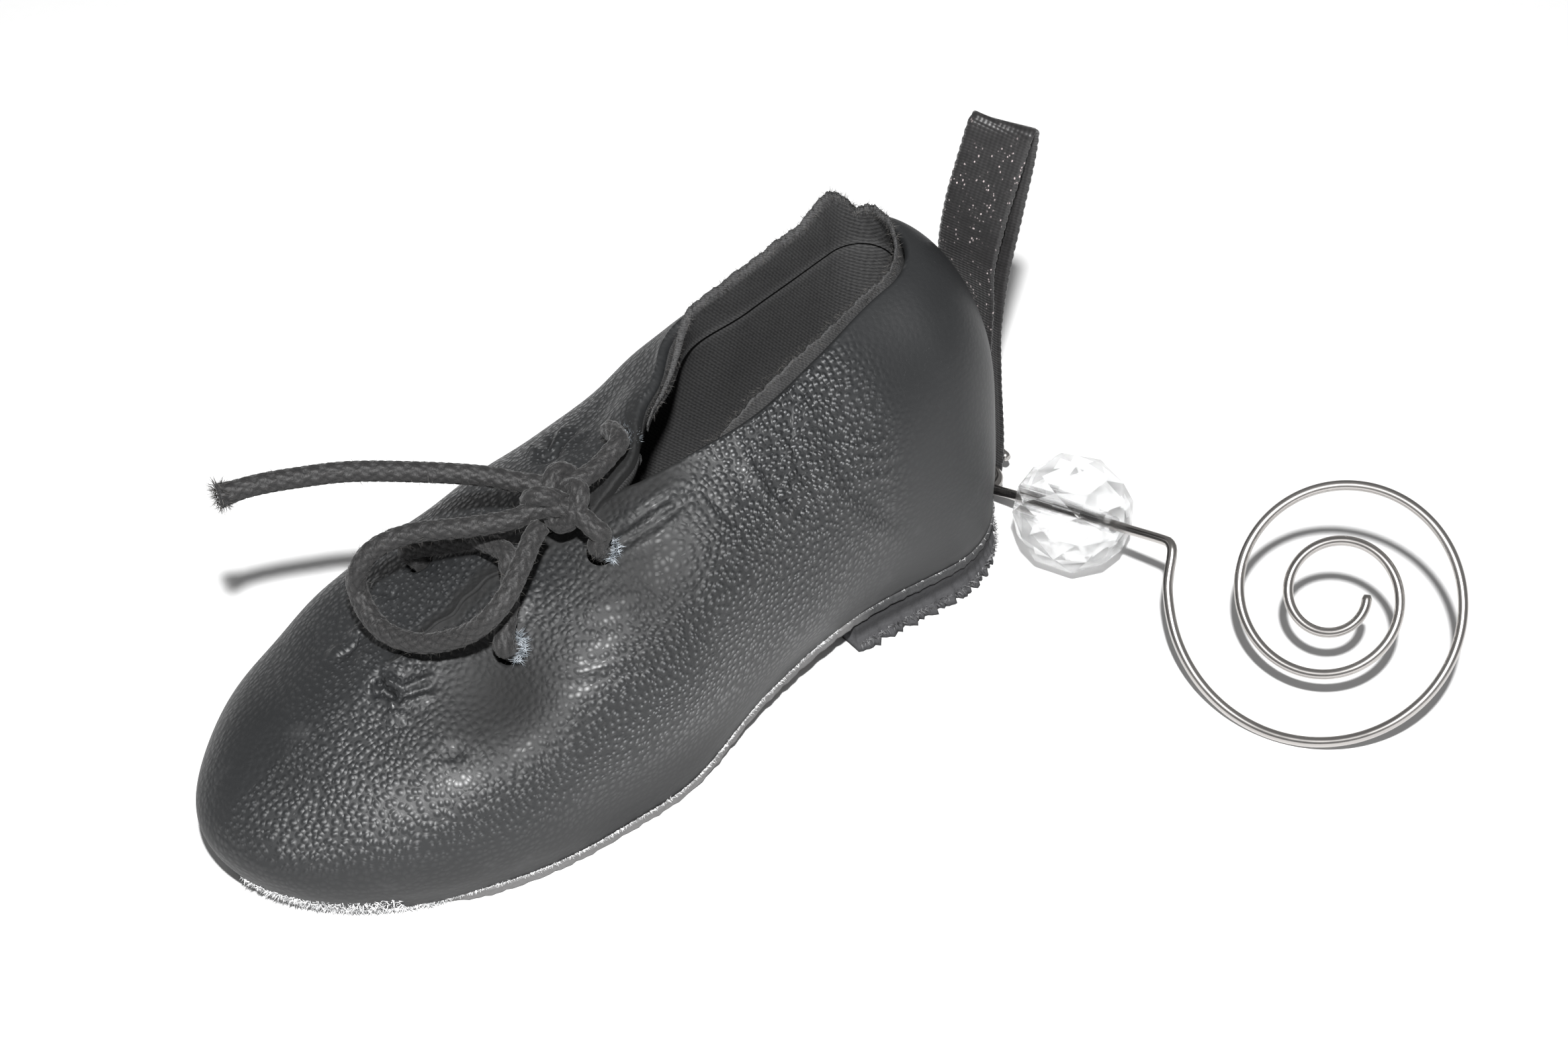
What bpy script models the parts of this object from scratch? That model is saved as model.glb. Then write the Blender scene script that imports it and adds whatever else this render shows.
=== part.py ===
"""Miniature laced jazz shoe with a ribbon hanging loop and a beaded wire hanger.

Sizes are in millimetres and become metres where a mesh is made.
The toe points to -X, the heel to +X, and +Z is up.
The origin lies on the floor, under the middle of the heel block.
"""
import math

import bmesh
import bpy
import numpy as np
from mathutils import Matrix, Vector

MM = 0.001

# Driving sizes of the shoe
LENGTH = 88.0
HEEL_BACK_X = 11.6
BALL_HALF = 16.4
COLLAR_HEIGHT = 32.0
INSTEP_HEIGHT = 28.2
WALL = 1.2
SEAT_GAP = 0.3

# Sole, heel block and insole
OUTSOLE_THICK = 1.2
OUTSOLE_LIP = 0.35
OUTSOLE_DRAW = 0.2
SOLE_TIP = 0.0008
HEEL_BLOCK_HEIGHT = 3.0
HEEL_BLOCK_FRONT_X = -12.0
HEEL_BLOCK_INSET = 0.1
HEEL_BLOCK_CHAMFER = 0.4
INSOLE_THICK = 0.8
INSOLE_INSET = WALL + 0.5
INSOLE_ENDS = (0.03, 0.972)

# Mesh steps round and up the upper, and along the sole
TURN_STEPS = 84
UP_STEPS = 11
SOLE_STEPS = 44
HEEL_STEPS = 14
SHARP_ANGLE = 40
NORMAL_STEP = 0.002
EDGE_FADE = 0.12

# Four lines run round the upper, from the sole's edge to the collar.
# Columns: name, place up the wall, its heel and toe ends drawn in, and its round ends as shares of its length.
LEVELS = (
    ("sole", 0.00, 0.6, 2.2, 0.13, 0.34),
    ("bulge", 0.22, 0.6, 0.2, 0.13, 0.32),
    ("shoulder", 0.62, 1.0, 9.8, 0.13, 0.34),
    ("rim", 1.00, 6.2, 20.0, 0.10, 0.03),
)

# Sections from the back of the heel (along 0) to the toe (along 1).
# Half widths are shares of BALL_HALF, heights of bulge and shoulder shares of the crest, the rest millimetres.
SECTION_COLUMNS = ("along", "sole", "bulge", "shoulder", "rim", "sole_z", "bulge_up", "shoulder_up",
                   "crest", "axis", "lean")
SECTIONS = (
    (0.00, 0.72, 0.76, 0.70, 0.34, 4.8, 0.32, 0.74, COLLAR_HEIGHT + 1.4, -0.8, 4.0),
    (0.13, 0.72, 0.76, 0.70, 0.34, 4.8, 0.32, 0.74, COLLAR_HEIGHT + 1.0, -0.8, 2.6),
    (0.27, 0.72, 0.82, 0.75, 0.40, 5.0, 0.33, 0.72, COLLAR_HEIGHT, -0.7, 1.0),
    (0.42, 0.84, 0.96, 0.83, 0.42, 3.8, 0.33, 0.72, COLLAR_HEIGHT - 1.2, -0.8, -0.6),
    (0.55, 1.01, 1.06, 0.84, 0.10, 1.7, 0.32, 0.73, INSTEP_HEIGHT + 1.2, -1.0, -4.9),
    (0.66, 1.04, 1.07, 0.81, 0.05, 1.2, 0.31, 0.73, INSTEP_HEIGHT - 0.8, -1.0, -4.2),
    (0.80, 1.04, 1.07, 0.73, 0.05, 1.2, 0.33, 0.73, INSTEP_HEIGHT - 4.4, -1.0, -2.4),
    (0.92, 1.01, 1.04, 0.65, 0.05, 1.9, 0.35, 0.72, INSTEP_HEIGHT - 7.8, -1.0, -1.6),
    (1.00, 0.99, 1.02, 0.61, 0.05, 2.5, 0.36, 0.71, INSTEP_HEIGHT - 9.2, -1.0, -1.6),
)

# Lace holes: place along and up the upper, and the side (-1 near, +1 far)
LACE_WIDTH = 2.1
HOLE_RADIUS = 1.35
HOLE_DEPTH = 8.0
HOLES = {
    "far_low": (0.812, 0.757, 1),
    "near_low": (0.818, 0.772, -1),
    "far_top": (0.575, 0.925, 1),
    "near_top": (0.694, 0.900, -1),
}

# The woven lining's turned edge round the collar. Columns of the rise: along, near side, far side.
LINING_THICK = 0.8
LINING_GAP = 0.4
LINING_FRONT = 0.50
LINING_UPRIGHT = 3.0
LINING_DROP = 0.12
LINING_STEPS = 52
LINING_RISE = (
    (0.00, 2.4, 2.4),
    (0.06, 1.4, 5.2),
    (0.16, 1.2, 4.4),
    (0.36, 1.4, 3.2),
    (0.50, 1.0, 1.2),
)


def column(name):
    """One column of the section table."""
    place = SECTION_COLUMNS.index(name)
    return np.array([row[place] for row in SECTIONS])


def smooth(known, values, wanted):
    """Cubic through the table's values, with slopes from the neighbours."""
    known = np.asarray(known, float)
    values = np.asarray(values, float)
    slopes = np.gradient(values, known)
    wanted = np.clip(np.asarray(wanted, float), known[0], known[-1])
    cell = np.clip(np.searchsorted(known, wanted, side="right") - 1, 0, len(known) - 2)
    width = known[cell + 1] - known[cell]
    t = (wanted - known[cell]) / width
    start = (1 + 2 * t) * (1 - t) ** 2 * values[cell] + t * (1 - t) ** 2 * width * slopes[cell]
    end = t * t * (3 - 2 * t) * values[cell + 1] + t * t * (t - 1) * width * slopes[cell + 1]
    return start + end


def section(name, along):
    return smooth(column("along"), column(name), along)


def sole_height(along):
    """Underside of the upper, held level where the ball stands on the floor."""
    return np.maximum(section("sole_z", along), SEAT_GAP + OUTSOLE_THICK)


def round_ends(along, heel_round, toe_round):
    """Elliptic closing of an outline at its two ends."""
    heel = np.clip(1 - along / heel_round, 0, 1)
    toe = np.clip(1 - (1 - along) / toe_round, 0, 1)
    return np.sqrt(np.clip(1 - heel ** 2, 0, 1)) * np.sqrt(np.clip(1 - toe ** 2, 0, 1))


def level_line(level, along, side):
    """Points of one of the four lines, at places along the shoe and on one side."""
    name, up, heel_in, toe_in, heel_round, toe_round = level
    heel_x = HEEL_BACK_X - heel_in
    toe_x = HEEL_BACK_X - LENGTH + toe_in
    x = heel_x + (toe_x - heel_x) * along
    half = section(name, along) * BALL_HALF * round_ends(along, heel_round, toe_round)
    crest = section("crest", along)
    heights = {
        "sole": sole_height(along),
        "bulge": section("bulge_up", along) * crest,
        "shoulder": section("shoulder_up", along) * crest,
        "rim": crest,
    }
    z = heights[name]
    y = section("axis", along) * (1 - up) + section("lean", along) * up ** 2 + side * half
    return np.stack([x, y, z], axis=-1)


def upper_point(along, up, side):
    """A point of the upper's outer face: the cubic through the four lines."""
    along, up, side = np.broadcast_arrays(np.asarray(along, float), np.asarray(up, float), np.asarray(side, float))
    ups = [level[1] for level in LEVELS]
    total = np.zeros(along.shape + (3,))
    for i, level in enumerate(LEVELS):
        weight = np.ones_like(up)
        for j, other in enumerate(ups):
            if j != i:
                weight = weight * (up - other) / (ups[i] - other)
        total += weight[..., None] * level_line(level, along, side)
    return total


def turn_to_place(turn):
    """Place along and side for a turn round the shoe: 0 at the heel, 0.5 at the toe, near side first."""
    turn = np.mod(turn, 1.0)
    share = 1 - np.abs(1 - 2 * turn)
    along = (1 - np.cos(np.pi * share)) / 2
    side = np.where(turn < 0.5, -1.0, 1.0)
    return along, side


def upper_at_turn(turn, up):
    along, side = turn_to_place(turn)
    return upper_point(along, up, side)


def unit(vectors):
    return vectors / np.linalg.norm(vectors, axis=-1, keepdims=True)


def upper_normal(turn, up):
    """Outward normal of the upper's outer face, level at the sole's edge."""
    turn, up = np.broadcast_arrays(np.asarray(turn, float), np.asarray(up, float))
    round_way = upper_at_turn(turn + NORMAL_STEP, up) - upper_at_turn(turn - NORMAL_STEP, up)
    up_way = upper_at_turn(turn, up + NORMAL_STEP) - upper_at_turn(turn, up - NORMAL_STEP)
    normal = unit(np.cross(up_way, round_way))
    normal[..., 2] *= np.clip(up / EDGE_FADE, 0, 1)
    return unit(normal)


def hole_frame(name):
    """Middle and outward normal of a lace hole."""
    along, up, side = HOLES[name]
    share = math.acos(1 - 2 * along) / math.pi
    turn = share / 2 if side < 0 else 1 - share / 2
    return upper_at_turn(turn, up), upper_normal(turn, up)


def clear_scene():
    for thing in list(bpy.data.objects):
        bpy.data.objects.remove(thing, do_unlink=True)


def finish(name, colour, roughness, metallic=0.0, alpha=1.0):
    material = bpy.data.materials.new(name)
    material.use_nodes = True
    shader = material.node_tree.nodes["Principled BSDF"]
    shader.inputs["Base Color"].default_value = (*colour, 1.0)
    shader.inputs["Roughness"].default_value = roughness
    shader.inputs["Metallic"].default_value = metallic
    shader.inputs["Alpha"].default_value = alpha
    return material


def mesh_object(name, points, faces, material, origin=(0, 0, 0)):
    """A closed mesh from points in millimetres, with its faces turned outwards."""
    mesh = bpy.data.meshes.new(name)
    local = (np.asarray(points, float) - np.asarray(origin, float)) * MM
    mesh.from_pydata(local.tolist(), [], faces)
    work = bmesh.new()
    work.from_mesh(mesh)
    bmesh.ops.recalc_face_normals(work, faces=work.faces)
    work.to_mesh(mesh)
    work.free()
    mesh.shade_smooth()
    mesh.set_sharp_from_angle(angle=math.radians(SHARP_ANGLE))
    thing = bpy.data.objects.new(name, mesh)
    thing.location = Vector(origin) * MM
    thing.data.materials.append(material)
    bpy.context.scene.collection.objects.link(thing)
    return thing


def tube_object(name, points, width, material, origin=(0, 0, 0)):
    """A round tube with filled ends along points in millimetres."""
    curve = bpy.data.curves.new(name, "CURVE")
    curve.dimensions = "3D"
    curve.bevel_depth = width / 2 * MM
    curve.bevel_resolution = 2
    curve.use_fill_caps = True
    spline = curve.splines.new("POLY")
    spline.points.add(len(points) - 1)
    for knot, point in zip(spline.points, points):
        knot.co = (*((np.asarray(point) - np.asarray(origin)) * MM), 1.0)
    thing = bpy.data.objects.new(name, curve)
    thing.location = Vector(origin) * MM
    thing.data.materials.append(material)
    bpy.context.scene.collection.objects.link(thing)
    return thing


def through(route, step):
    """Smooth curve through hand-chosen route points, read off at an even step."""
    route = np.asarray(route, float)
    ends = np.vstack([2 * route[0] - route[1], route, 2 * route[-1] - route[-2]])
    fine = []
    for i in range(1, len(ends) - 2):
        a, b, c, d = ends[i - 1:i + 3]
        for t in np.linspace(0, 1, 24, endpoint=False):
            fine.append(0.5 * (2 * b + (c - a) * t + (2 * a - 5 * b + 4 * c - d) * t ** 2
                               + (3 * b - a - 3 * c + d) * t ** 3))
    fine.append(route[-1])
    fine = np.array(fine)
    run = np.concatenate([[0], np.cumsum(np.linalg.norm(np.diff(fine, axis=0), axis=1))])
    count = max(2, round(run[-1] / step) + 1)
    places = np.linspace(0, run[-1], count)
    return np.stack([np.interp(places, run, fine[:, k]) for k in range(3)], axis=1)


def ring_faces(rows, columns, closed_columns, closed_rows):
    """Quads of a grid of points, closed round either way."""
    faces = []
    for r in range(rows if closed_rows else rows - 1):
        for c in range(columns if closed_columns else columns - 1):
            r2 = (r + 1) % rows
            c2 = (c + 1) % columns
            faces.append((r * columns + c, r * columns + c2, r2 * columns + c2, r2 * columns + c))
    return faces


def make_upper(material):
    """Hollow shell: outer face up, over the rim, inner face down, and across the bottom edge."""
    turns = np.arange(TURN_STEPS) / TURN_STEPS
    ups = np.linspace(0, 1, UP_STEPS)
    outer = [upper_at_turn(turns, up) for up in ups]
    inner = [upper_at_turn(turns, up) - WALL * upper_normal(turns, up) for up in ups[::-1]]
    rows = outer + inner
    faces = ring_faces(len(rows), TURN_STEPS, True, True)
    upper = mesh_object("upper", np.vstack(rows), faces, material)
    for name in HOLES:
        middle, normal = hole_frame(name)
        punch = hole_punch("punch_" + name, middle, normal)
        cut = upper.modifiers.new("hole_" + name, "BOOLEAN")
        cut.operation = "DIFFERENCE"
        cut.solver = "EXACT"
        cut.object = punch
    return upper


def hole_punch(name, middle, normal):
    """Round cutter along the upper's normal, kept out of the model."""
    mesh = bpy.data.meshes.new(name)
    work = bmesh.new()
    bmesh.ops.create_cone(work, cap_ends=True, segments=14, radius1=HOLE_RADIUS * MM, radius2=HOLE_RADIUS * MM,
                          depth=HOLE_DEPTH * MM)
    work.to_mesh(mesh)
    work.free()
    punch = bpy.data.objects.new(name, mesh)
    turn = Vector((0, 0, 1)).rotation_difference(Vector(normal)).to_matrix().to_4x4()
    punch.matrix_world = Matrix.Translation(Vector(middle) * MM) @ turn
    punch.hide_render = True
    punch.display_type = "WIRE"
    bpy.context.scene.collection.objects.link(punch)
    return punch


def sole_outline(along, side, grow):
    """Edge of the upper's sole line, grown outwards by a few tenths or drawn in."""
    level = LEVELS[0]
    step = 0.001
    place = level_line(level, along, side)
    ahead = level_line(level, np.clip(along + step, 0, 1), side)
    behind = level_line(level, np.clip(along - step, 0, 1), side)
    way = unit((ahead - behind)[..., :2])
    outward = np.stack([-way[..., 1], way[..., 0]], axis=-1) * np.sign(-side)
    place[..., :2] += grow * outward
    return place


def plate(name, alongs, grow, top, bottom, bottom_draw, material):
    """Flat or bent plate under the foot: near and far edges at each station, with the given faces."""
    near_top, far_top, near_low, far_low = [], [], [], []
    for along in alongs:
        for side, upper_row, lower_row in ((-1, near_top, near_low), (1, far_top, far_low)):
            edge = sole_outline(np.array([along]), side, grow)[0]
            low = sole_outline(np.array([along]), side, grow - bottom_draw)[0]
            upper_row.append((edge[0], edge[1], top(along)))
            lower_row.append((low[0], low[1], bottom(along)))
    points = near_top + far_top + near_low + far_low
    count = len(alongs)
    a, b, c, d = 0, count, 2 * count, 3 * count
    faces = []
    for i in range(count - 1):
        faces.append((a + i, a + i + 1, b + i + 1, b + i))
        faces.append((c + i, d + i, d + i + 1, c + i + 1))
        faces.append((a + i, c + i, c + i + 1, a + i + 1))
        faces.append((b + i, b + i + 1, d + i + 1, d + i))
    faces.append((a, b, d, c))
    last = count - 1
    faces.append((a + last, c + last, d + last, b + last))
    return mesh_object(name, points, faces, material)


def sole_top(along):
    return float(sole_height(along)) - SEAT_GAP


def along_of_x(x):
    """Place along the sole line for a place on X."""
    _, _, heel_in, toe_in, _, _ = LEVELS[0]
    heel_x = HEEL_BACK_X - heel_in
    toe_x = HEEL_BACK_X - LENGTH + toe_in
    return (x - heel_x) / (toe_x - heel_x)


def end_spaced(first, last, count):
    """Places along, closer together towards the round ends."""
    share = np.linspace(0, 1, count)
    return first + (last - first) * (1 - np.cos(np.pi * share)) / 2


def make_soles(suede, block, board):
    stations = end_spaced(SOLE_TIP, 1 - SOLE_TIP, SOLE_STEPS)
    plate("outsole", stations, OUTSOLE_LIP, sole_top, lambda s: sole_top(s) - OUTSOLE_THICK, OUTSOLE_DRAW, suede)
    inner = end_spaced(*INSOLE_ENDS, SOLE_STEPS)
    plate("insole", inner, -INSOLE_INSET, lambda s: sole_top(s) + SEAT_GAP + INSOLE_THICK,
          lambda s: sole_top(s) + SEAT_GAP, 0.0, board)
    front = along_of_x(HEEL_BLOCK_FRONT_X)
    stations = SOLE_TIP + 2 * (front - SOLE_TIP) * (1 - np.cos(np.linspace(0, np.pi / 3, HEEL_STEPS)))
    plate("heel", stations, -HEEL_BLOCK_INSET, lambda s: HEEL_BLOCK_HEIGHT, lambda s: 0.0,
          HEEL_BLOCK_CHAMFER, block)


def make_lining(material):
    """Band inside the collar, from below the leather's edge to a little above it."""
    share = math.acos(1 - 2 * LINING_FRONT) / math.pi
    turns = np.linspace(-share / 2, share / 2, LINING_STEPS)
    along, side = turn_to_place(turns)
    places, near_rise, far_rise = zip(*LINING_RISE)
    rise = np.where(side < 0, smooth(places, near_rise, along), smooth(places, far_rise, along))
    rows = []
    for depth in (WALL + LINING_GAP, WALL + LINING_GAP + LINING_THICK):
        low = upper_at_turn(turns, 1 - LINING_DROP) - depth * upper_normal(turns, 1 - LINING_DROP)
        mid = upper_at_turn(turns, 1 - LINING_DROP / 2) - depth * upper_normal(turns, 1 - LINING_DROP / 2)
        edge = upper_at_turn(turns, 1.0) - depth * upper_normal(turns, 1.0)
        way = unit(edge - mid)
        stand = unit(way + np.array([0, 0, LINING_UPRIGHT]))
        rows.append([low, mid, edge, edge + stand * rise[:, None]])
    outer, inner = rows
    loop = outer + inner[::-1]
    grid = np.stack(loop, axis=1)
    count, across = grid.shape[:2]
    faces = ring_faces(count, across, True, False)
    faces.append(tuple(range(across)))
    faces.append(tuple((count - 1) * across + k for k in range(across - 1, -1, -1)))
    mesh_object("collar_lining", grid.reshape(-1, 3), faces, material)


# Lace routes. The low bar lies over the throat from hole to hole, and the rest leaves the knot.
KNOT_MIDDLE = (-39.4, -3.7, 29.2)
KNOT_SIZE = (6.8, 6.2, 4.4)
KNOT_WAIST = 0.1
KNOT_ROWS = 9
KNOT_AROUND = 16
FAR_STRAND_ROUTE = ((-35.0, -3.2, 29.8), (-33.4, -2.8, 30.1), (-31.6, -2.1, 30.5))
NEAR_STRAND_ROUTE = ((-38.8, -8.3, 28.4), (-38.3, -8.5, 27.6))
LOOP_ROUTE = (
    (-44.2, -3.2, 28.9), (-47.4, -1.1, 28.3), (-51.4, 2.2, 27.4), (-54.4, 3.8, 26.0), (-56.2, 4.0, 24.0),
    (-56.5, 3.6, 22.0), (-56.7, 1.4, 20.7), (-56.3, -1.2, 20.3), (-54.8, -4.4, 20.9), (-52.6, -7.1, 22.6),
    (-51.0, -8.9, 25.0), (-48.7, -8.8, 26.6), (-46.0, -7.4, 28.0), (-44.0, -6.2, 28.9),
)
END_ROUTE = (
    (-41.2, -0.7, 29.8), (-43.6, 1.8, 30.2), (-47.6, 5.0, 30.6), (-53.0, 8.8, 31.0), (-57.6, 11.0, 31.2),
    (-61.0, 12.4, 31.2), (-64.0, 13.3, 31.0),
)
LACE_STEP = 3.4
BAR_STEP = 2.0
BAR_CROWN = 0.3
BAR_SHARES = (0.3, 0.4, 0.5, 0.6, 0.7)
LACE_CLEAR = 0.5
MOUTH_LEAD = 1.7


def hole_mouth(name):
    """The last two places of a lace, straight down into a hole's mouth."""
    middle, normal = hole_frame(name)
    return [tuple(middle + normal * rise) for rise in (MOUTH_LEAD, SEAT_GAP)]


def bar_route(far, near):
    """Over the throat from one hole to the other, a little clear of the leather."""
    far_along, far_up, far_side = HOLES[far]
    near_along, near_up, near_side = HOLES[near]
    lift = LACE_WIDTH / 2 + LACE_CLEAR
    route = hole_mouth(far)[::-1]
    for share in BAR_SHARES:
        along = far_along + (near_along - far_along) * share
        if share < 0.5:
            up = far_up + (1 - far_up) * share * 2
            side = far_side
        else:
            up = 1 - (1 - near_up) * (share * 2 - 1)
            side = near_side
        crown = lift + BAR_CROWN * math.sin(math.pi * share)
        route.append(upper_point(along, up, side) + np.array([0, 0, crown]))
    return route + hole_mouth(near)


def make_laces(material):
    tube_object("lace_bar_low", through(bar_route("far_low", "near_low"), BAR_STEP), LACE_WIDTH, material)
    far = list(FAR_STRAND_ROUTE) + hole_mouth("far_top")
    near = list(NEAR_STRAND_ROUTE) + hole_mouth("near_top")
    tube_object("lace_strand_far", through(far, BAR_STEP), LACE_WIDTH, material)
    tube_object("lace_strand_near", through(near, BAR_STEP), LACE_WIDTH, material)
    tube_object("lace_loop", through(LOOP_ROUTE, LACE_STEP), LACE_WIDTH, material)
    tube_object("lace_end", through(END_ROUTE, LACE_STEP), LACE_WIDTH, material)
    make_knot(material)


def make_knot(material):
    """Rounded lump of the knot's outer shape, with the wrap's shallow waist."""
    points = []
    for i in range(1, KNOT_ROWS):
        tilt = math.pi * i / KNOT_ROWS
        for j in range(KNOT_AROUND):
            turn = 2 * math.pi * j / KNOT_AROUND
            ball = Vector((math.sin(tilt) * math.cos(turn), math.sin(tilt) * math.sin(turn), math.cos(tilt)))
            waist = 1 - KNOT_WAIST * math.cos(3 * turn) * math.sin(tilt)
            points.append([m + s / 2 * b * waist for m, s, b in zip(KNOT_MIDDLE, KNOT_SIZE, ball)])
    faces = ring_faces(KNOT_ROWS - 1, KNOT_AROUND, True, False)
    top, bottom = len(points), len(points) + 1
    points.append([KNOT_MIDDLE[0], KNOT_MIDDLE[1], KNOT_MIDDLE[2] + KNOT_SIZE[2] / 2])
    points.append([KNOT_MIDDLE[0], KNOT_MIDDLE[1], KNOT_MIDDLE[2] - KNOT_SIZE[2] / 2])
    last = (KNOT_ROWS - 2) * KNOT_AROUND
    for j in range(KNOT_AROUND):
        following = (j + 1) % KNOT_AROUND
        faces.append((top, j, following))
        faces.append((bottom, last + following, last + j))
    mesh_object("lace_knot", points, faces, material)


# Ribbon loop: its middle line up the front strand, over the top fold, and down the back strand.
# Each row has the place (x, y, z) and how far the ribbon is turned from facing the heel, in degrees.
RIBBON_WIDTH = 6.35
RIBBON_THICK = 0.4
RIBBON_ROUTE = (
    (12.2, 0.0, 2.6, 0), (12.2, 0.0, 6.5, 0), (12.1, 0.0, 12.0, 0), (11.9, 0.0, 18.0, 0), (11.6, 0.0, 24.0, 6),
    (11.0, 0.0, 29.0, 18), (11.5, -0.5, 35.0, 28), (12.6, -1.1, 41.0, 30), (13.2, -1.3, 43.6, 30),
    (13.9, -1.2, 44.4, 30), (14.5, -0.9, 43.6, 30), (14.5, -0.5, 40.0, 30), (13.7, -0.2, 34.0, 28),
    (12.9, 0.0, 27.0, 16), (12.9, 0.0, 21.0, 4), (13.5, 0.0, 14.0, 0), (14.2, 0.0, 7.0, 0), (14.2, 0.0, 2.6, 0),
    (13.8, 0.0, 1.3, 0), (13.2, 0.0, 0.85, 0), (12.6, 0.0, 1.3, 0),
)
RIBBON_STEPS = 96


def make_ribbon(material):
    """A closed loop of flat ribbon: its bottom bight passes through the hanger's eye."""
    route = np.array([row[:3] for row in RIBBON_ROUTE])
    turns = np.array([row[3] for row in RIBBON_ROUTE], float)
    count = len(route)
    fine, twist = [], []
    for i in range(count):
        a, b, c, d = (route[(i + k) % count] for k in (-1, 0, 1, 2))
        for t in np.linspace(0, 1, 12, endpoint=False):
            fine.append(0.5 * (2 * b + (c - a) * t + (2 * a - 5 * b + 4 * c - d) * t ** 2
                               + (3 * b - a - 3 * c + d) * t ** 3))
            ease = t * t * (3 - 2 * t)
            twist.append(turns[i] * (1 - ease) + turns[(i + 1) % count] * ease)
    fine = np.array(fine)
    closed = np.vstack([fine, fine[:1]])
    run = np.concatenate([[0], np.cumsum(np.linalg.norm(np.diff(closed, axis=0), axis=1))])
    places = np.linspace(0, run[-1], RIBBON_STEPS, endpoint=False)
    line = np.stack([np.interp(places, run, closed[:, k]) for k in range(3)], axis=1)
    angle = np.radians(np.interp(places, run, np.array(twist + twist[:1])))
    along = unit(np.roll(line, -1, axis=0) - np.roll(line, 1, axis=0))
    across = np.stack([np.sin(angle), -np.cos(angle), np.zeros_like(angle)], axis=1)
    across = unit(across - along * np.sum(across * along, axis=1, keepdims=True))
    normal = np.cross(along, across)
    half, thin = RIBBON_WIDTH / 2, RIBBON_THICK / 2
    corners = [(half, thin), (-half, thin), (-half, -thin), (half, -thin)]
    grid = np.stack([line + across * w + normal * h for w, h in corners], axis=1)
    mesh_object("ribbon_loop", grid.reshape(-1, 3), ring_faces(RIBBON_STEPS, 4, True, True), material)


# Wire hanger: a hook through the ribbon, a straight shaft through the bead, a bend and a flat spiral
WIRE_WIDTH = 1.0
HOOK_ROUTE = (
    (15.3, -2.8, 2.9), (15.4, 0.0, 2.9), (15.35, 2.6, 2.9), (14.95, 4.1, 2.9), (13.95, 4.4, 2.9), (13.3, 3.4, 2.9),
    (13.2, 0.5, 2.9), (13.2, -2.2, 2.85), (12.95, -4.0, 2.75), (12.2, -4.8, 2.75),
)
HOOK_STEP = 1.2
HOOK_LEAD = 3.0
SHAFT_START = np.array([11.3, -5.3, 2.8])
SHAFT_END = np.array([14.5, -27.5, 10.0])
HINGE = (13.95, 4.4, 2.9)
SPIRAL_MIDDLE = np.array([21.5, -42.0, 10.0])
SPIRAL_LOW = np.array([13.9, -50.8, 0.75])
SPIRAL_TURNS = 2.55
SPIRAL_END_RADIUS = 3.2
SPIRAL_FALL = 1.55
SPIRAL_POINTS = 56
BEND_RADIUS = 1.1
BEAD_SHARE = 0.4535
BEAD_SIDES = 10
BORE_RADIUS = 0.85
# Rings of the bead's corners: distance along the bore, radius, and the turn in half sides
BEAD_RINGS = ((-5.35, 1.9, 0), (-4.2, 4.25, 1), (-1.75, 5.75, 0), (1.75, 5.75, 1), (4.2, 4.25, 0), (5.35, 1.9, 1))


def spiral_points():
    """Flat spiral from the bend inwards, its first turn dipping to the floor."""
    start = SHAFT_END - SPIRAL_MIDDLE
    first = unit(start)
    low = SPIRAL_LOW - SPIRAL_MIDDLE
    second = unit(low - first * np.dot(low, first))
    share = np.linspace(0, 1, SPIRAL_POINTS)[:, None]
    radius = SPIRAL_END_RADIUS + (np.linalg.norm(start) - SPIRAL_END_RADIUS) * (1 - share) ** SPIRAL_FALL
    angle = 2 * np.pi * SPIRAL_TURNS * share
    return SPIRAL_MIDDLE + radius * (np.cos(angle) * first + np.sin(angle) * second)


def make_hanger(steel, crystal):
    shaft = unit(SHAFT_END - SHAFT_START)
    hook = through(HOOK_ROUTE + (tuple(SHAFT_START), tuple(SHAFT_START + HOOK_LEAD * shaft)), HOOK_STEP)
    spiral = spiral_points()
    bend_in = SHAFT_END - BEND_RADIUS * shaft
    bend_out = SHAFT_END + BEND_RADIUS * unit(spiral[1] - SHAFT_END)
    bend = [0.25 * bend_in + 0.5 * SHAFT_END + 0.25 * bend_out]
    middle = SHAFT_START + BEAD_SHARE * (SHAFT_END - SHAFT_START)
    run = np.vstack([hook, [middle], [bend_in], bend, [bend_out], spiral[1:]])
    tube_object("hanger_wire", run, WIRE_WIDTH, steel, origin=HINGE)
    make_bead(middle, shaft, crystal)


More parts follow.
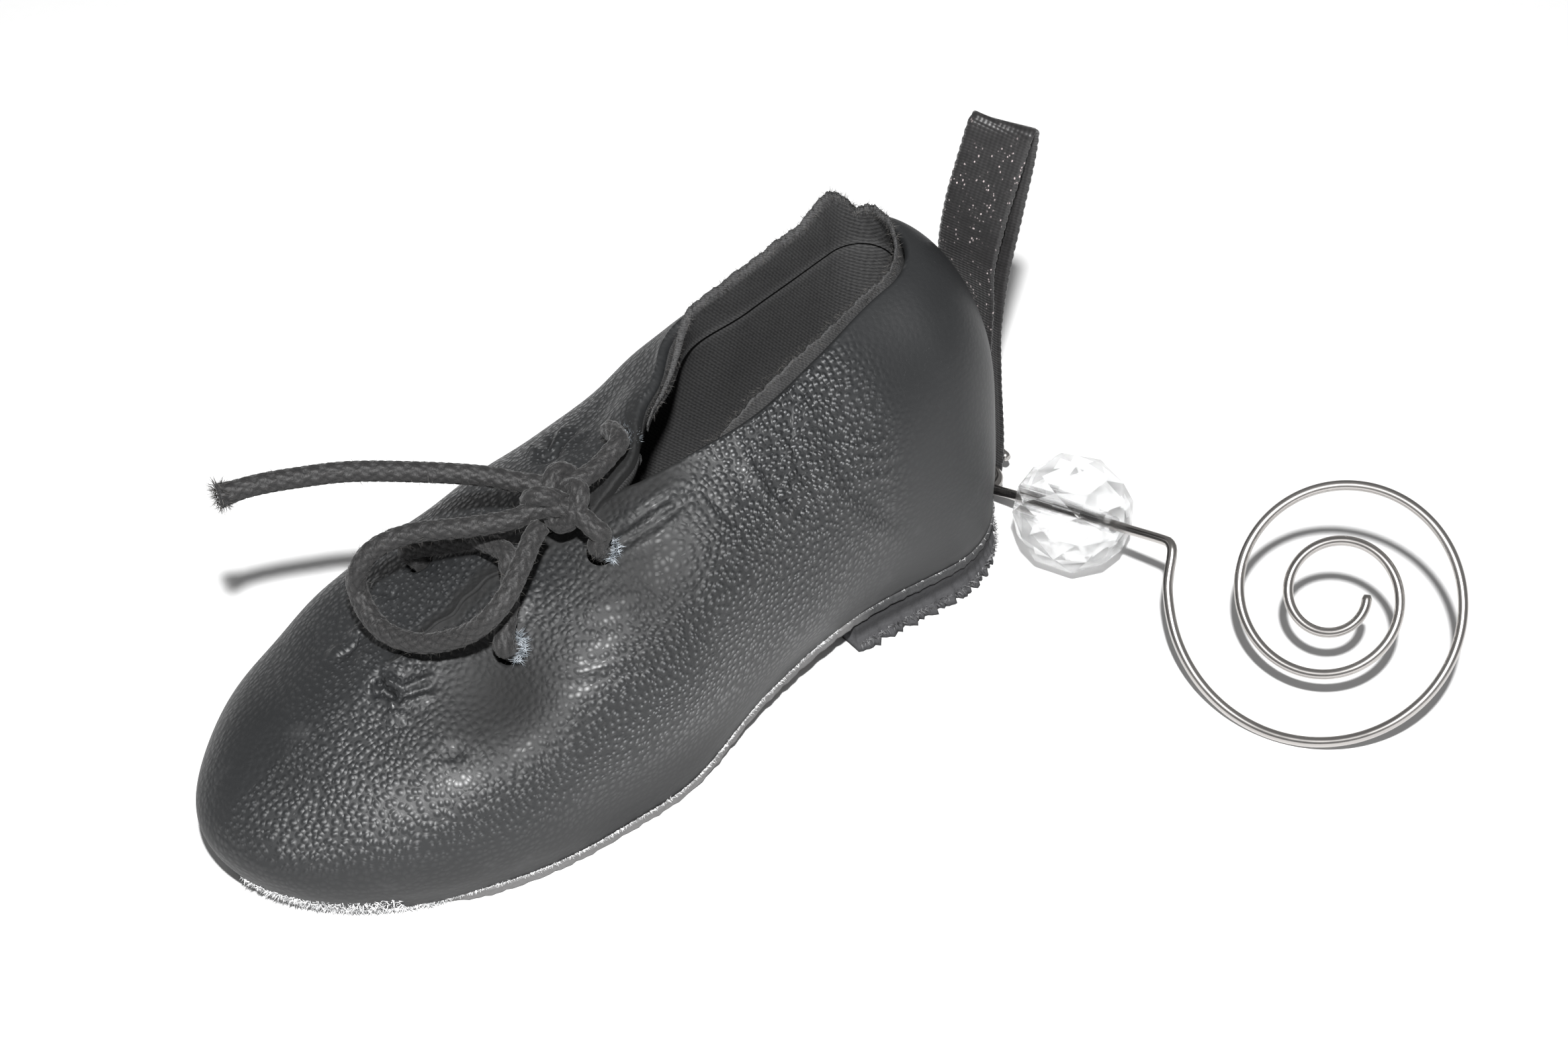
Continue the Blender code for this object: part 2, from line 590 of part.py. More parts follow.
def make_bead(middle, axis, material):
    """Faceted round bead with a straight bore along the wire."""
    side = unit(np.cross(axis, np.array([0.0, 0.0, 1.0])))
    other = np.cross(axis, side)
    rings = [(BEAD_RINGS[0][0], BORE_RADIUS, BEAD_RINGS[0][2])]
    rings += list(BEAD_RINGS)
    rings += [(BEAD_RINGS[-1][0], BORE_RADIUS, BEAD_RINGS[-1][2])]
    points = []
    for place, radius, half_turns in rings:
        for k in range(BEAD_SIDES):
            angle = math.pi * (2 * k + half_turns) / BEAD_SIDES
            points.append(middle + axis * place + radius * (math.cos(angle) * side + math.sin(angle) * other))
    faces = []
    for r in range(len(rings)):
        r2 = (r + 1) % len(rings)
        twist = rings[r2][2] - rings[r][2]
        for k in range(BEAD_SIDES):
            a, b = r * BEAD_SIDES + k, r * BEAD_SIDES + (k + 1) % BEAD_SIDES
            c, d = r2 * BEAD_SIDES + k, r2 * BEAD_SIDES + (k + 1) % BEAD_SIDES
            if twist > 0:
                faces += [(a, b, c), (b, d, c)]
            elif twist < 0:
                faces += [(a, b, d), (a, d, c)]
            else:
                faces.append((a, b, d, c))
    bead = mesh_object("crystal_bead", points, faces, material, origin=tuple(middle))
    bead.data.shade_flat()


def main():
    clear_scene()
    leather = finish("black_leather", (0.018, 0.019, 0.020), 0.42)
    suede = finish("sole_suede", (0.30, 0.29, 0.28), 0.95)
    block = finish("heel_suede", (0.06, 0.06, 0.062), 0.95)
    board = finish("insole_board", (0.03, 0.03, 0.03), 0.9)
    lining = finish("black_lining", (0.012, 0.012, 0.013), 0.95)
    cord = finish("black_cord", (0.012, 0.012, 0.012), 0.85)
    satin = finish("black_satin", (0.010, 0.009, 0.010), 0.38)
    steel = finish("bright_steel", (0.62, 0.60, 0.58), 0.22, metallic=1.0)
    crystal = finish("clear_crystal", (0.96, 0.97, 0.98), 0.03, alpha=0.35)
    make_upper(leather)
    make_soles(suede, block, board)
    make_lining(lining)
    make_laces(cord)
    make_ribbon(satin)
    make_hanger(steel, crystal)


main()
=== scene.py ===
"""Looks of the miniature laced jazz shoe: leather, lining, suede soles, laces, ribbon, wire and bead.

Sizes are in millimetres and become metres where a mesh is made.
The toe points to -X, the heel to +X, and the near side is -Y.
"""
import math

import bmesh
import bpy
import numpy as np
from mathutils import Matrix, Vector


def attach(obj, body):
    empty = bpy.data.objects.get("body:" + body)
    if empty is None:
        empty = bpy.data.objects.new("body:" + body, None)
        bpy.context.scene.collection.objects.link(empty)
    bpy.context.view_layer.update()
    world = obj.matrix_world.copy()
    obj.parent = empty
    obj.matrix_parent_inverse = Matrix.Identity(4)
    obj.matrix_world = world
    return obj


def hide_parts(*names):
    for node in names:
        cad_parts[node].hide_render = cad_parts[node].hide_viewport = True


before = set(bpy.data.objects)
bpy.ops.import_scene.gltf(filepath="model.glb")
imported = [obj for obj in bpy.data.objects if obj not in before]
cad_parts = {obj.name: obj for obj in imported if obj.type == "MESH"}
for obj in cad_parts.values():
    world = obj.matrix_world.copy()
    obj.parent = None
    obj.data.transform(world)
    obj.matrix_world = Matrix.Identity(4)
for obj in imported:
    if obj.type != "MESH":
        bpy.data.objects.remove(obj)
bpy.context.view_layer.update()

MM = 0.001
NEAR = -1
FAR = 1

# Sizes of the shoe, the same as in its solids
LENGTH = 88.0
HEEL_BACK_X = 11.6
BALL_HALF = 16.4
COLLAR_HEIGHT = 32.0
INSTEP_HEIGHT = 28.2
WALL = 1.2
SEAT_GAP = 0.3
OUTSOLE_THICK = 1.2
HEEL_BLOCK_HEIGHT = 3.0
HEEL_BLOCK_FRONT_X = -12.0
INSOLE_THICK = 0.8
INSOLE_INSET = WALL + 0.5
INSOLE_ENDS = (0.03, 0.972)

# Steps of the curves, and the share up the wall where its normal turns level
NORMAL_STEP = 0.002
OUTLINE_STEP = 0.001
ROUTE_STEPS = 24
EDGE_FADE = 0.12

# Four lines run round the upper: name, place up the wall, heel and toe ends drawn in, and its round ends
LEVELS = (
    ("sole", 0.00, 0.6, 2.2, 0.13, 0.34),
    ("bulge", 0.22, 0.6, 0.2, 0.13, 0.32),
    ("shoulder", 0.62, 1.0, 9.8, 0.13, 0.34),
    ("rim", 1.00, 6.2, 20.0, 0.10, 0.03),
)
SECTION_COLUMNS = ("along", "sole", "bulge", "shoulder", "rim", "sole_z", "bulge_up", "shoulder_up",
                   "crest", "axis", "lean")
SECTIONS = (
    (0.00, 0.72, 0.76, 0.70, 0.34, 4.8, 0.32, 0.74, COLLAR_HEIGHT + 1.4, -0.8, 4.0),
    (0.13, 0.72, 0.76, 0.70, 0.34, 4.8, 0.32, 0.74, COLLAR_HEIGHT + 1.0, -0.8, 2.6),
    (0.27, 0.72, 0.82, 0.75, 0.40, 5.0, 0.33, 0.72, COLLAR_HEIGHT, -0.7, 1.0),
    (0.42, 0.84, 0.96, 0.83, 0.42, 3.8, 0.33, 0.72, COLLAR_HEIGHT - 1.2, -0.8, -0.6),
    (0.55, 1.01, 1.06, 0.84, 0.10, 1.7, 0.32, 0.73, INSTEP_HEIGHT + 1.2, -1.0, -4.9),
    (0.66, 1.04, 1.07, 0.81, 0.05, 1.2, 0.31, 0.73, INSTEP_HEIGHT - 0.8, -1.0, -4.2),
    (0.80, 1.04, 1.07, 0.73, 0.05, 1.2, 0.33, 0.73, INSTEP_HEIGHT - 4.4, -1.0, -2.4),
    (0.92, 1.01, 1.04, 0.65, 0.05, 1.9, 0.35, 0.72, INSTEP_HEIGHT - 7.8, -1.0, -1.6),
    (1.00, 0.99, 1.02, 0.61, 0.05, 2.5, 0.36, 0.71, INSTEP_HEIGHT - 9.2, -1.0, -1.6),
)

# Lace holes: place along and up the upper, and the side
LACE_WIDTH = 2.1
HOLE_RADIUS = 1.35
HOLE_DEPTH = 3.0
HOLE_REACH = 4.0
HOLES = {
    "far_low": (0.812, 0.757, FAR),
    "near_low": (0.818, 0.772, NEAR),
    "far_top": (0.575, 0.925, FAR),
    "near_top": (0.694, 0.900, NEAR),
}

# Mesh steps of the leather, round, up the outer face, over the rim and down the inner face
LEATHER_ROUND = 560
LEATHER_UP = 128
RIM_STEPS = 4
INNER_STEPS = 24

# Rolled rim of the leather, and the lining that hangs inside its wall
RIM_BELOW = 0.97
RIM_CROWN = 0.3
SLIT_CROWN = 0.1
DENT_SLACK = 0.3
RIM_FRONT = 0.60
HANG_FRONT = 0.76
HANG_FADE = 0.12
HANG_SHARE = 0.75
HANG_STEP = 1.1

# Creases of the leather: height (ridges up, troughs down), half width, side, and places along and up
CREASES = (
    # Three ridges and two troughs beside the upper near hole
    (0.20, 0.45, NEAR, ((0.690, 0.945), (0.635, 0.945), (0.575, 0.952))),
    (0.24, 0.48, NEAR, ((0.680, 0.906), (0.630, 0.906), (0.570, 0.921))),
    (0.17, 0.48, NEAR, ((0.670, 0.870), (0.620, 0.870), (0.565, 0.885))),
    (-0.20, 0.42, NEAR, ((0.685, 0.927), (0.632, 0.926), (0.572, 0.937))),
    (-0.20, 0.42, NEAR, ((0.675, 0.888), (0.625, 0.888), (0.568, 0.903))),
    # Ridge over the vamp below the knot, and the trough under it
    (0.14, 1.00, NEAR, ((0.742, 0.800), (0.702, 0.765), (0.676, 0.755), (0.628, 0.715))),
    (-0.12, 1.00, NEAR, ((0.740, 0.755), (0.700, 0.722), (0.660, 0.705), (0.620, 0.675))),
    # Puckers that fall from the collar
    (0.38, 0.80, NEAR, ((0.466, 0.940), (0.460, 0.838), (0.436, 0.730), (0.400, 0.640))),
    (-0.38, 0.80, NEAR, ((0.448, 0.900), (0.442, 0.800), (0.415, 0.700), (0.380, 0.620))),
    (0.28, 0.60, NEAR, ((0.434, 0.920), (0.438, 0.862), (0.464, 0.818))),
    (0.28, 1.10, NEAR, ((0.354, 0.900), (0.352, 0.708), (0.318, 0.560), (0.272, 0.432), (0.228, 0.292))),
    (-0.20, 1.10, NEAR, ((0.330, 0.860), (0.326, 0.690), (0.290, 0.540), (0.245, 0.420), (0.205, 0.300))),
    (0.30, 1.20, NEAR, ((0.352, 0.950), (0.340, 0.868))),
    (0.24, 0.42, NEAR, ((0.372, 0.900), (0.382, 0.800), (0.376, 0.720))),
    (0.24, 0.42, NEAR, ((0.398, 0.880), (0.404, 0.780), (0.390, 0.690))),
    (0.22, 0.42, NEAR, ((0.420, 0.770), (0.400, 0.660))),
    (-0.20, 0.36, NEAR, ((0.385, 0.890), (0.392, 0.790), (0.383, 0.700))),
    (-0.20, 0.36, NEAR, ((0.411, 0.850), (0.402, 0.730))),
    (-0.22, 0.40, NEAR, ((0.538, 0.898), (0.498, 0.735))),
    # Long wrinkles on the near side of the vamp
    (-0.17, 0.75, NEAR, ((0.758, 0.615), (0.702, 0.588), (0.596, 0.532))),
    (-0.14, 0.60, NEAR, ((0.730, 0.638), (0.632, 0.592))),
    (0.12, 0.70, NEAR, ((0.745, 0.625), (0.670, 0.600), (0.600, 0.560))),
    # Short ridges at the front of the heel counter
    (0.24, 0.50, NEAR, ((0.322, 0.740), (0.242, 0.648))),
    (0.24, 0.50, NEAR, ((0.320, 0.688), (0.238, 0.595))),
    (0.22, 0.50, NEAR, ((0.312, 0.628), (0.240, 0.545))),
    # Slit's torn end at the toe, with puckers and bumps round it
    (-1.30, 0.60, NEAR, ((0.998, 0.880), (0.984, 0.820), (0.950, 0.763))),
    (0.70, 0.42, NEAR, ((0.995, 0.850), (0.972, 0.790), (0.945, 0.740))),
    (0.62, 0.42, NEAR, ((0.985, 0.860), (0.955, 0.800))),
    (0.40, 0.45, NEAR, ((0.950, 0.790), (0.914, 0.800))),
    (0.36, 0.45, NEAR, ((0.945, 0.745), (0.905, 0.740))),
    (-0.30, 0.40, NEAR, ((0.945, 0.770), (0.908, 0.770))),
    (0.30, 0.50, NEAR, ((0.955, 0.725), (0.925, 0.690))),
    (0.45, 0.80, FAR, ((0.930, 0.690),)),
    (0.40, 0.70, FAR, ((0.910, 0.720),)),
    (-0.35, 0.50, FAR, ((0.945, 0.720), (0.925, 0.745))),
    (0.40, 0.70, FAR, ((0.970, 0.820),)),
    # Hollow of the vamp, its dimple, and the bulge under the lace loop
    (-1.25, 4.40, NEAR, ((0.815, 0.655),)),
    (0.30, 7.00, NEAR, ((0.885, 0.450),)),
    (-0.35, 0.80, NEAR, ((0.852, 0.542),)),
    (0.50, 1.60, NEAR, ((0.822, 0.920), (0.792, 0.855))),
    # Pit and puckers of the far flap, drawn up by the knot
    (-0.90, 1.00, FAR, ((0.620, 0.805),)),
    (0.32, 0.50, FAR, ((0.610, 0.790), (0.545, 0.720))),
    (0.32, 0.50, FAR, ((0.615, 0.770), (0.590, 0.690))),
    (0.30, 0.50, FAR, ((0.605, 0.820), (0.560, 0.810))),
    (-0.26, 0.45, FAR, ((0.605, 0.780), (0.562, 0.700))),
    (-0.26, 0.45, FAR, ((0.608, 0.805), (0.555, 0.765))),
    # Wrinkles beside the lower far hole
    (0.30, 0.60, FAR, ((0.828, 0.650), (0.862, 0.770))),
    (0.28, 0.60, FAR, ((0.860, 0.705), (0.888, 0.818))),
    (-0.26, 0.50, FAR, ((0.844, 0.680), (0.875, 0.795))),
)

# Share of a crease that tapers, its height at the tips, and how it fades to the sole and to the rim
CREASE_TAPER = 0.22
CREASE_TIP = 0.25
CREASE_FOOT = 0.06
CREASE_TOP = 0.05
RIM_CREASE = 0.25

# Slow unevenness of hand-lasted leather: height, waves along X, Y and Z per millimetre, and phase
LASTING_WAVES = (
    (0.10, (0.31, 0.13, 0.22), 0.4),
    (0.08, (0.17, 0.42, -0.28), 1.9),
    (0.06, (0.52, -0.24, 0.47), 3.1),
)

# Grain of the leather: smooth at the heel counter and low down, and how fast it fills from there
COUNTER_FROM = 0.185
COUNTER_FADE = 0.08
COUNTER_GRAIN = 0.12
FOOT_FROM = 0.08
FOOT_FADE = 0.20
FOOT_GRAIN = 0.2
RIM_GRAIN = 0.2

# Grain lost low on the far toe, and gained beside the collar and on the sides of the vamp
FAR_TOE_LOSS = 0.55
FAR_TOE_FROM = 0.72
FAR_TOE_FADE = 0.2
FAR_TOE_TOP = 0.75
FAR_TOE_TOP_FADE = 0.3
COLLAR_GAIN = 1.15
COLLAR_PLACE = 0.38
COLLAR_REACH = 0.11
COLLAR_FROM = 0.50
COLLAR_FADE = 0.2
VAMP_GAIN = 0.85
VAMP_PLACE = 0.52
VAMP_REACH = 0.20
VAMP_LOW = 0.10
VAMP_LOW_FADE = 0.25
VAMP_HIGH = 0.85
VAMP_HIGH_FADE = 0.2

# Dull places of the leather, darkened with painted shade as well: the vamp's hollow, the instep beside the
# knot, and a band above the floor
HOLLOW_PLACE = (0.815, 0.660, NEAR)
HOLLOW_REACH = 6.2
INSTEP_PLACE = (0.645, 0.79, NEAR)
INSTEP_REACH = 7.0
INSTEP_DULL_SHADE = 0.72
LOW_DULL_SHADE = 0.40
LOW_FROM = 3.5
LOW_FADE = 7.0

# Rubbed leather: everywhere a little, more at the collar's rim
WEAR_ALL = 0.15
WEAR_RIM = 0.65
WEAR_FROM = 0.975

# Throat slit, drawn closed from the knot to the toe, with a dull lip darkened by painted shade, and an uneven
# course
SLIT_FROM = 0.60
SLIT_FADE = 0.07
SLIT_FOOT = 0.80
SLIT_GAP = 0.14
SLIT_DIP = 0.80
SLIT_DULL_SHADE = 0.9
SLIT_SHADE_FROM = 0.93
SLIT_SHADE_FADE = 0.05
SLIT_COURSE = ((0.22, 0.9, 0.0), (0.14, 2.3, 1.0))

# Lower edge of the leather, set down on the sole, and the outsole's lip, which is tucked in at the toe
SEAT_SHARE = 0.05
TOE_FROM = 0.80
TOE_FADE = 0.12
TOE_HEM = 1.0
HEM_SHARE = 0.12
OUTSOLE_LIP = 0.20
TOE_TUCK = 1.6

# Far rim, drawn out at the front of the collar's opening
FAR_RIM_PLACE = 0.530
FAR_RIM_REACH = 0.050
FAR_RIM_PULL = 3.2
FAR_RIM_FROM = 0.78


def held(value):
    """A value kept between 0 and 1."""
    return np.clip(value, 0, 1)


def soft_step(value):
    """Soft step from 0 to 1."""
    value = held(value)
    return value * value * (3 - 2 * value)


def hump(distance, reach):
    """Round hump: 1 in the middle, fading out past its reach."""
    return np.exp(-(distance / reach) ** 2)


def waves(places, rows):
    """Sum of sine waves. Each row is a height, waves in radians per unit, and a phase."""
    return sum(height * np.sin(places * rate + phase) for height, rate, phase in rows)


def column(name):
    """One column of the section table."""
    place = SECTION_COLUMNS.index(name)
    return np.array([row[place] for row in SECTIONS])


def smooth(known, values, wanted):
    """Cubic through the table's values, with slopes from the neighbours."""
    known = np.asarray(known, float)
    values = np.asarray(values, float)
    slopes = np.gradient(values, known)
    wanted = np.clip(np.asarray(wanted, float), known[0], known[-1])
    cell = np.clip(np.searchsorted(known, wanted, side="right") - 1, 0, len(known) - 2)
    width = known[cell + 1] - known[cell]
    t = (wanted - known[cell]) / width
    start = (1 + 2 * t) * (1 - t) ** 2 * values[cell] + t * (1 - t) ** 2 * width * slopes[cell]
    end = t * t * (3 - 2 * t) * values[cell + 1] + t * t * (t - 1) * width * slopes[cell + 1]
    return start + end


def section(name, along):
    """One column of the table, at places along the shoe."""
    return smooth(column("along"), column(name), along)


def sole_height(along):
    """Underside of the upper, held level where the ball stands on the floor."""
    return np.maximum(section("sole_z", along), SEAT_GAP + OUTSOLE_THICK)


def round_ends(along, heel_round, toe_round):
    """Elliptic closing of an outline at its two ends."""
    heel = held(1 - along / heel_round)
    toe = held(1 - (1 - along) / toe_round)
    return np.sqrt(held(1 - heel ** 2)) * np.sqrt(held(1 - toe ** 2))


def level_ends(level):
    """Heel and toe ends of one of the four lines, on X."""
    _, _, heel_in, toe_in, _, _ = level
    return HEEL_BACK_X - heel_in, HEEL_BACK_X - LENGTH + toe_in


def level_line(level, along, side):
    """Points of one of the four lines, at places along the shoe and on one side."""
    name, up, _, _, heel_round, toe_round = level
    heel_x, toe_x = level_ends(level)
    x = heel_x + (toe_x - heel_x) * along
    half = section(name, along) * BALL_HALF * round_ends(along, heel_round, toe_round)
    crest = section("crest", along)
    heights = {
        "sole": sole_height(along),
        "bulge": section("bulge_up", along) * crest,
        "shoulder": section("shoulder_up", along) * crest,
        "rim": crest,
    }
    z = heights[name]
    y = section("axis", along) * (1 - up) + section("lean", along) * up ** 2 + side * half
    return np.stack([x, y, z], axis=-1)


def upper_point(along, up, side):
    """A point of the upper's outer face: the cubic through the four lines."""
    along, up, side = np.broadcast_arrays(*(np.asarray(value, float) for value in (along, up, side)))
    ups = [level[1] for level in LEVELS]
    total = np.zeros(along.shape + (3,))
    for i, level in enumerate(LEVELS):
        weight = np.ones_like(up)
        for j, other in enumerate(ups):
            if j != i:
                weight = weight * (up - other) / (ups[i] - other)
        total += weight[..., None] * level_line(level, along, side)
    return total


def turn_to_place(turn):
    """Place along and side for a turn round the shoe: 0 at the heel, 0.5 at the toe, near side first."""
    turn = np.mod(turn, 1.0)
    share = 1 - np.abs(1 - 2 * turn)
    along = (1 - np.cos(np.pi * share)) / 2
    side = np.where(turn < 0.5, -1.0, 1.0)
    return along, side


def upper_at_turn(turn, up):
    """A point of the upper's outer face, by its turn round the shoe."""
    along, side = turn_to_place(turn)
    return upper_point(along, up, side)


def unit(vectors):
    """Vectors brought to length one."""
    return vectors / np.linalg.norm(vectors, axis=-1, keepdims=True)


def upper_normal(turn, up):
    """Outward normal of the upper's outer face, level at the sole's edge."""
    turn, up = np.broadcast_arrays(np.asarray(turn, float), np.asarray(up, float))
    round_way = upper_at_turn(turn + NORMAL_STEP, up) - upper_at_turn(turn - NORMAL_STEP, up)
    up_way = upper_at_turn(turn, up + NORMAL_STEP) - upper_at_turn(turn, up - NORMAL_STEP)
    normal = unit(np.cross(up_way, round_way))
    normal[..., 2] *= held(up / EDGE_FADE)
    return unit(normal)


def rim_way(turn, below):
    """The way that the wall takes up to its rim, from a place a little below it."""
    return unit(upper_at_turn(turn, 1.0) - upper_at_turn(turn, below))


def near_turn(along):
    """Turn round the shoe of a place along its near side."""
    return math.acos(1 - 2 * along) / math.pi / 2


def hole_frame(name):
    """Middle and outward normal of a lace hole."""
    along, up, side = HOLES[name]
    turn = near_turn(along) if side < 0 else 1 - near_turn(along)
    return upper_at_turn(turn, up), upper_normal(turn, up)


def through(route, step, closed=False):
    """Smooth curve through given route points, read off at an even step."""
    route = np.asarray(route, float)
    if closed:
        ends = np.vstack([route[-1:], route, route[:2]])
    else:
        ends = np.vstack([2 * route[0] - route[1], route, 2 * route[-1] - route[-2]])
    fine = []
    for i in range(1, len(ends) - 2):
        a, b, c, d = ends[i - 1:i + 3]
        for t in np.linspace(0, 1, ROUTE_STEPS, endpoint=False):
            fine.append(0.5 * (2 * b + (c - a) * t + (2 * a - 5 * b + 4 * c - d) * t ** 2
                               + (3 * b - a - 3 * c + d) * t ** 3))
    fine.append(ends[-2])
    fine = np.array(fine)
    run = np.concatenate([[0], np.cumsum(np.linalg.norm(np.diff(fine, axis=0), axis=1))])
    count = max(2, round(run[-1] / step) + 1)
    places = np.linspace(0, run[-1], count)
    line = np.stack([np.interp(places, run, fine[:, k]) for k in range(3)], axis=1)
    return line[:-1] if closed else line


def add_node(tree, kind, settings, values):
    """A node of a tree: first its settings, then the values or links of its sockets."""
    made = tree.nodes.new(kind)
    for key, value in settings.items():
        setattr(made, key, value)
    for key, value in values.items():
        if isinstance(value, bpy.types.NodeSocket):
            tree.links.new(value, made.inputs[key])
        else:
            made.inputs[key].default_value = value
    return made


class Tone:
    """A socket of a finish, so that shader maths reads as plain expressions."""

    def __init__(self, finish, socket):
        self.finish = finish
        self.socket = socket

    def maths(self, operation, *terms):
        return self.finish.node("ShaderNodeMath", {"operation": operation}, dict(enumerate(terms)))

    def __add__(self, other):
        return self.maths("ADD", self, other)

    def __radd__(self, other):
        return self.maths("ADD", other, self)

    def __sub__(self, other):
        return self.maths("SUBTRACT", self, other)

    def __rsub__(self, other):
        return self.maths("SUBTRACT", other, self)

    def __mul__(self, other):
        return self.maths("MULTIPLY", self, other)

    def __rmul__(self, other):
        return self.maths("MULTIPLY", other, self)

    def clamp(self):
        return self.finish.node("ShaderNodeClamp", {}, {"Value": self})

    def sine(self):
        return self.maths("SINE", self)


class Finish:
    """A procedural material: one shader, and the nodes that vary it over the surface."""

    def __init__(self, name, **constants):
        self.material = bpy.data.materials.new(name)
        self.material.use_nodes = True
        self.tree = self.material.node_tree
        self.shader = self.tree.nodes["Principled BSDF"]
        for socket, value in constants.items():
            self.shader.inputs[socket.replace("_", " ")].default_value = value

    def node(self, kind, settings, values, output=0):
        """A node whose values may be tones. Gives one of its outputs."""
        sockets = {key: value.socket if isinstance(value, Tone) else value for key, value in values.items()}
        return Tone(self, add_node(self.tree, kind, settings, sockets).outputs[output])

    def place(self):
        return self.node("ShaderNodeTexCoord", {}, {}, "Object")

    def surface(self):
        return self.node("ShaderNodeUVMap", {"uv_map": "surface"}, {})

    def attribute(self, name):
        return self.node("ShaderNodeAttribute", {"attribute_name": name}, {}, "Fac")

    def noise(self, vector, scale, detail=2.0, rough=0.5, output=0):
        values = {"Vector": vector, "Scale": scale, "Detail": detail, "Roughness": rough}
        return self.node("ShaderNodeTexNoise", {}, values, output)

    def cells(self, vector, scale, randomness, output):
        values = {"Vector": vector, "Scale": scale, "Randomness": randomness}
        return self.node("ShaderNodeTexVoronoi", {"feature": "F1"}, values, output)

    def ribs(self, vector, direction, scale, distortion, detail_scale=1.0):
        values = {"Vector": vector, "Scale": scale, "Distortion": distortion, "Detail Scale": detail_scale}
        settings = {"wave_type": "BANDS", "bands_direction": direction}
        return self.node("ShaderNodeTexWave", settings, values, "Fac")

    def vector(self, operation, *terms, output="Vector"):
        return self.node("ShaderNodeVectorMath", {"operation": operation}, dict(enumerate(terms)), output)

    def scaled(self, vector, factor):
        return self.node("ShaderNodeVectorMath", {"operation": "SCALE"}, {0: vector, "Scale": factor})

    def split(self, vector, axis):
        return self.node("ShaderNodeSeparateXYZ", {}, {0: vector}, axis)

    def step(self, value, low, high):
        """Soft step from 0 at low to 1 at high."""
        return self.node("ShaderNodeMapRange", {"interpolation_type": "SMOOTHSTEP"},
                         {"Value": value, "From Min": low, "From Max": high})

    def mixed(self, factor, a, b):
        colours = [c if isinstance(c, Tone) else (*c, 1.0) for c in (a, b)]
        return self.node("ShaderNodeMix", {"data_type": "RGBA"}, {0: factor, 6: colours[0], 7: colours[1]}, 2)

    def bump(self, height, distance, strength=1.0):
        values = {"Height": height, "Distance": distance, "Strength": strength}
        return self.node("ShaderNodeBump", {}, values)

    def feed(self, **links):
        for socket, tone in links.items():
            self.tree.links.new(tone.socket, self.shader.inputs[socket.replace("_", " ")])
        return self.material


def leather_finish():
    """Black grained leather: domed pebbles where the grain is full, nearly smooth over the heel counter."""
    f = Finish("black_grained_leather", Specular_IOR_Level=0.50, Coat_Roughness=0.28)
    place = f.place()
    sway = f.scaled(f.vector("SUBTRACT", f.noise(place, 130.0, output="Color"), (0.5, 0.5, 0.5)), 0.0018)
    drift = f.vector("ADD", place, sway)
    facing = f.node("ShaderNodeNewGeometry", {}, {}, "Normal")
    offset = f.vector("SUBTRACT", drift, f.cells(drift, 1430.0, 0.7, "Position"))
    depth = f.vector("DOT_PRODUCT", offset, facing, output="Value")
    aside = f.vector("SUBTRACT", offset, f.scaled(facing, depth))
    reach = f.vector("LENGTH", aside, output="Value")
    # The attribute read here is 1 where the leather is glossy; lower values roughen it and paint shade into
    # its colour.
    gloss_and_painted_shade = f.attribute("gloss_and_painted_shade")
    grain = f.attribute("grain") * (0.45 + 0.55 * gloss_and_painted_shade)
    pebble = f.step(reach, 0.00040, 0.00003)
    # Painted highlight: a bright dot painted into the colour at the middle of each full pebble.
    painted_glint = f.step(reach, 0.00015, 0.00005) * (grain - 0.66).clamp()
    fine = f.noise(place, 4800.0, 3.0)
    patch = f.noise(place, 95.0, 3.0)
    height = pebble * grain * (0.6 + 0.7 * patch) + fine * 0.14
    normal = f.bump(height, 0.000080)
    tone = (patch * 0.9).clamp()
    colour = f.mixed(tone, (0.0078, 0.0084, 0.0090), (0.0160, 0.0168, 0.0180))
    colour = f.mixed((painted_glint * 0.62).clamp(), colour, (0.170, 0.174, 0.180))
    # Painted shade: the colour goes nearly black where that attribute is low.
    colour = f.mixed(gloss_and_painted_shade, (0.002, 0.0021, 0.0022), colour)
    rub = f.step(f.noise(place, 260.0, 4.0), 0.60, 0.80) * f.attribute("wear")
    colour = f.mixed(rub, colour, (0.10, 0.10, 0.102))
    gloss = 0.82 - gloss_and_painted_shade * (0.32 + pebble * grain * 0.06 - patch * 0.05)
    coat = pebble * grain * gloss_and_painted_shade * 0.20
    return f.feed(Base_Color=colour, Roughness=gloss, Coat_Weight=coat, Normal=normal)


def lining_finish():
    """Black twill: fine slanting ribs with loose fuzz."""
    f = Finish("black_twill_lining", Specular_IOR_Level=0.25)
    place = f.place()
    rib = f.ribs(place, "DIAGONAL", 1650.0, 2.2, 2.0)
    cross = f.ribs(place, "X", 640.0, 1.0)
    fuzz = f.noise(place, 3600.0, 3.0)
    patch = f.noise(place, 120.0, 2.0)
    weave = (rib * 0.32 + cross * 0.15 + fuzz * 0.6).clamp()
    colour = f.mixed(weave * (0.55 + 0.6 * patch), (0.018, 0.018, 0.019), (0.085, 0.0845, 0.0845))
    return f.feed(Base_Color=colour, Roughness=0.82 + fuzz * 0.12, Normal=f.bump(weave, 0.00009, 0.9))


def suede_finish(name, dark, light, edge):
    """Napped suede, with a second colour on the marked part of its cut edge; on the soles it paints the
    edge's shade and light.
    """
    f = Finish(name, Specular_IOR_Level=0.2)
    place = f.place()
    nap = f.noise(place, 2600.0, 4.0, 0.65)
    patch = f.noise(place, 210.0, 3.0)
    tone = (nap * 0.7 + patch * 0.5 - 0.1).clamp()
    colour = f.mixed(tone, dark, light)
    colour = f.mixed(f.attribute("edge") * (0.55 + 0.6 * nap), colour, edge)
    return f.feed(Base_Color=colour, Roughness=0.86 + nap * 0.12, Normal=f.bump(nap, 0.00012, 0.8))


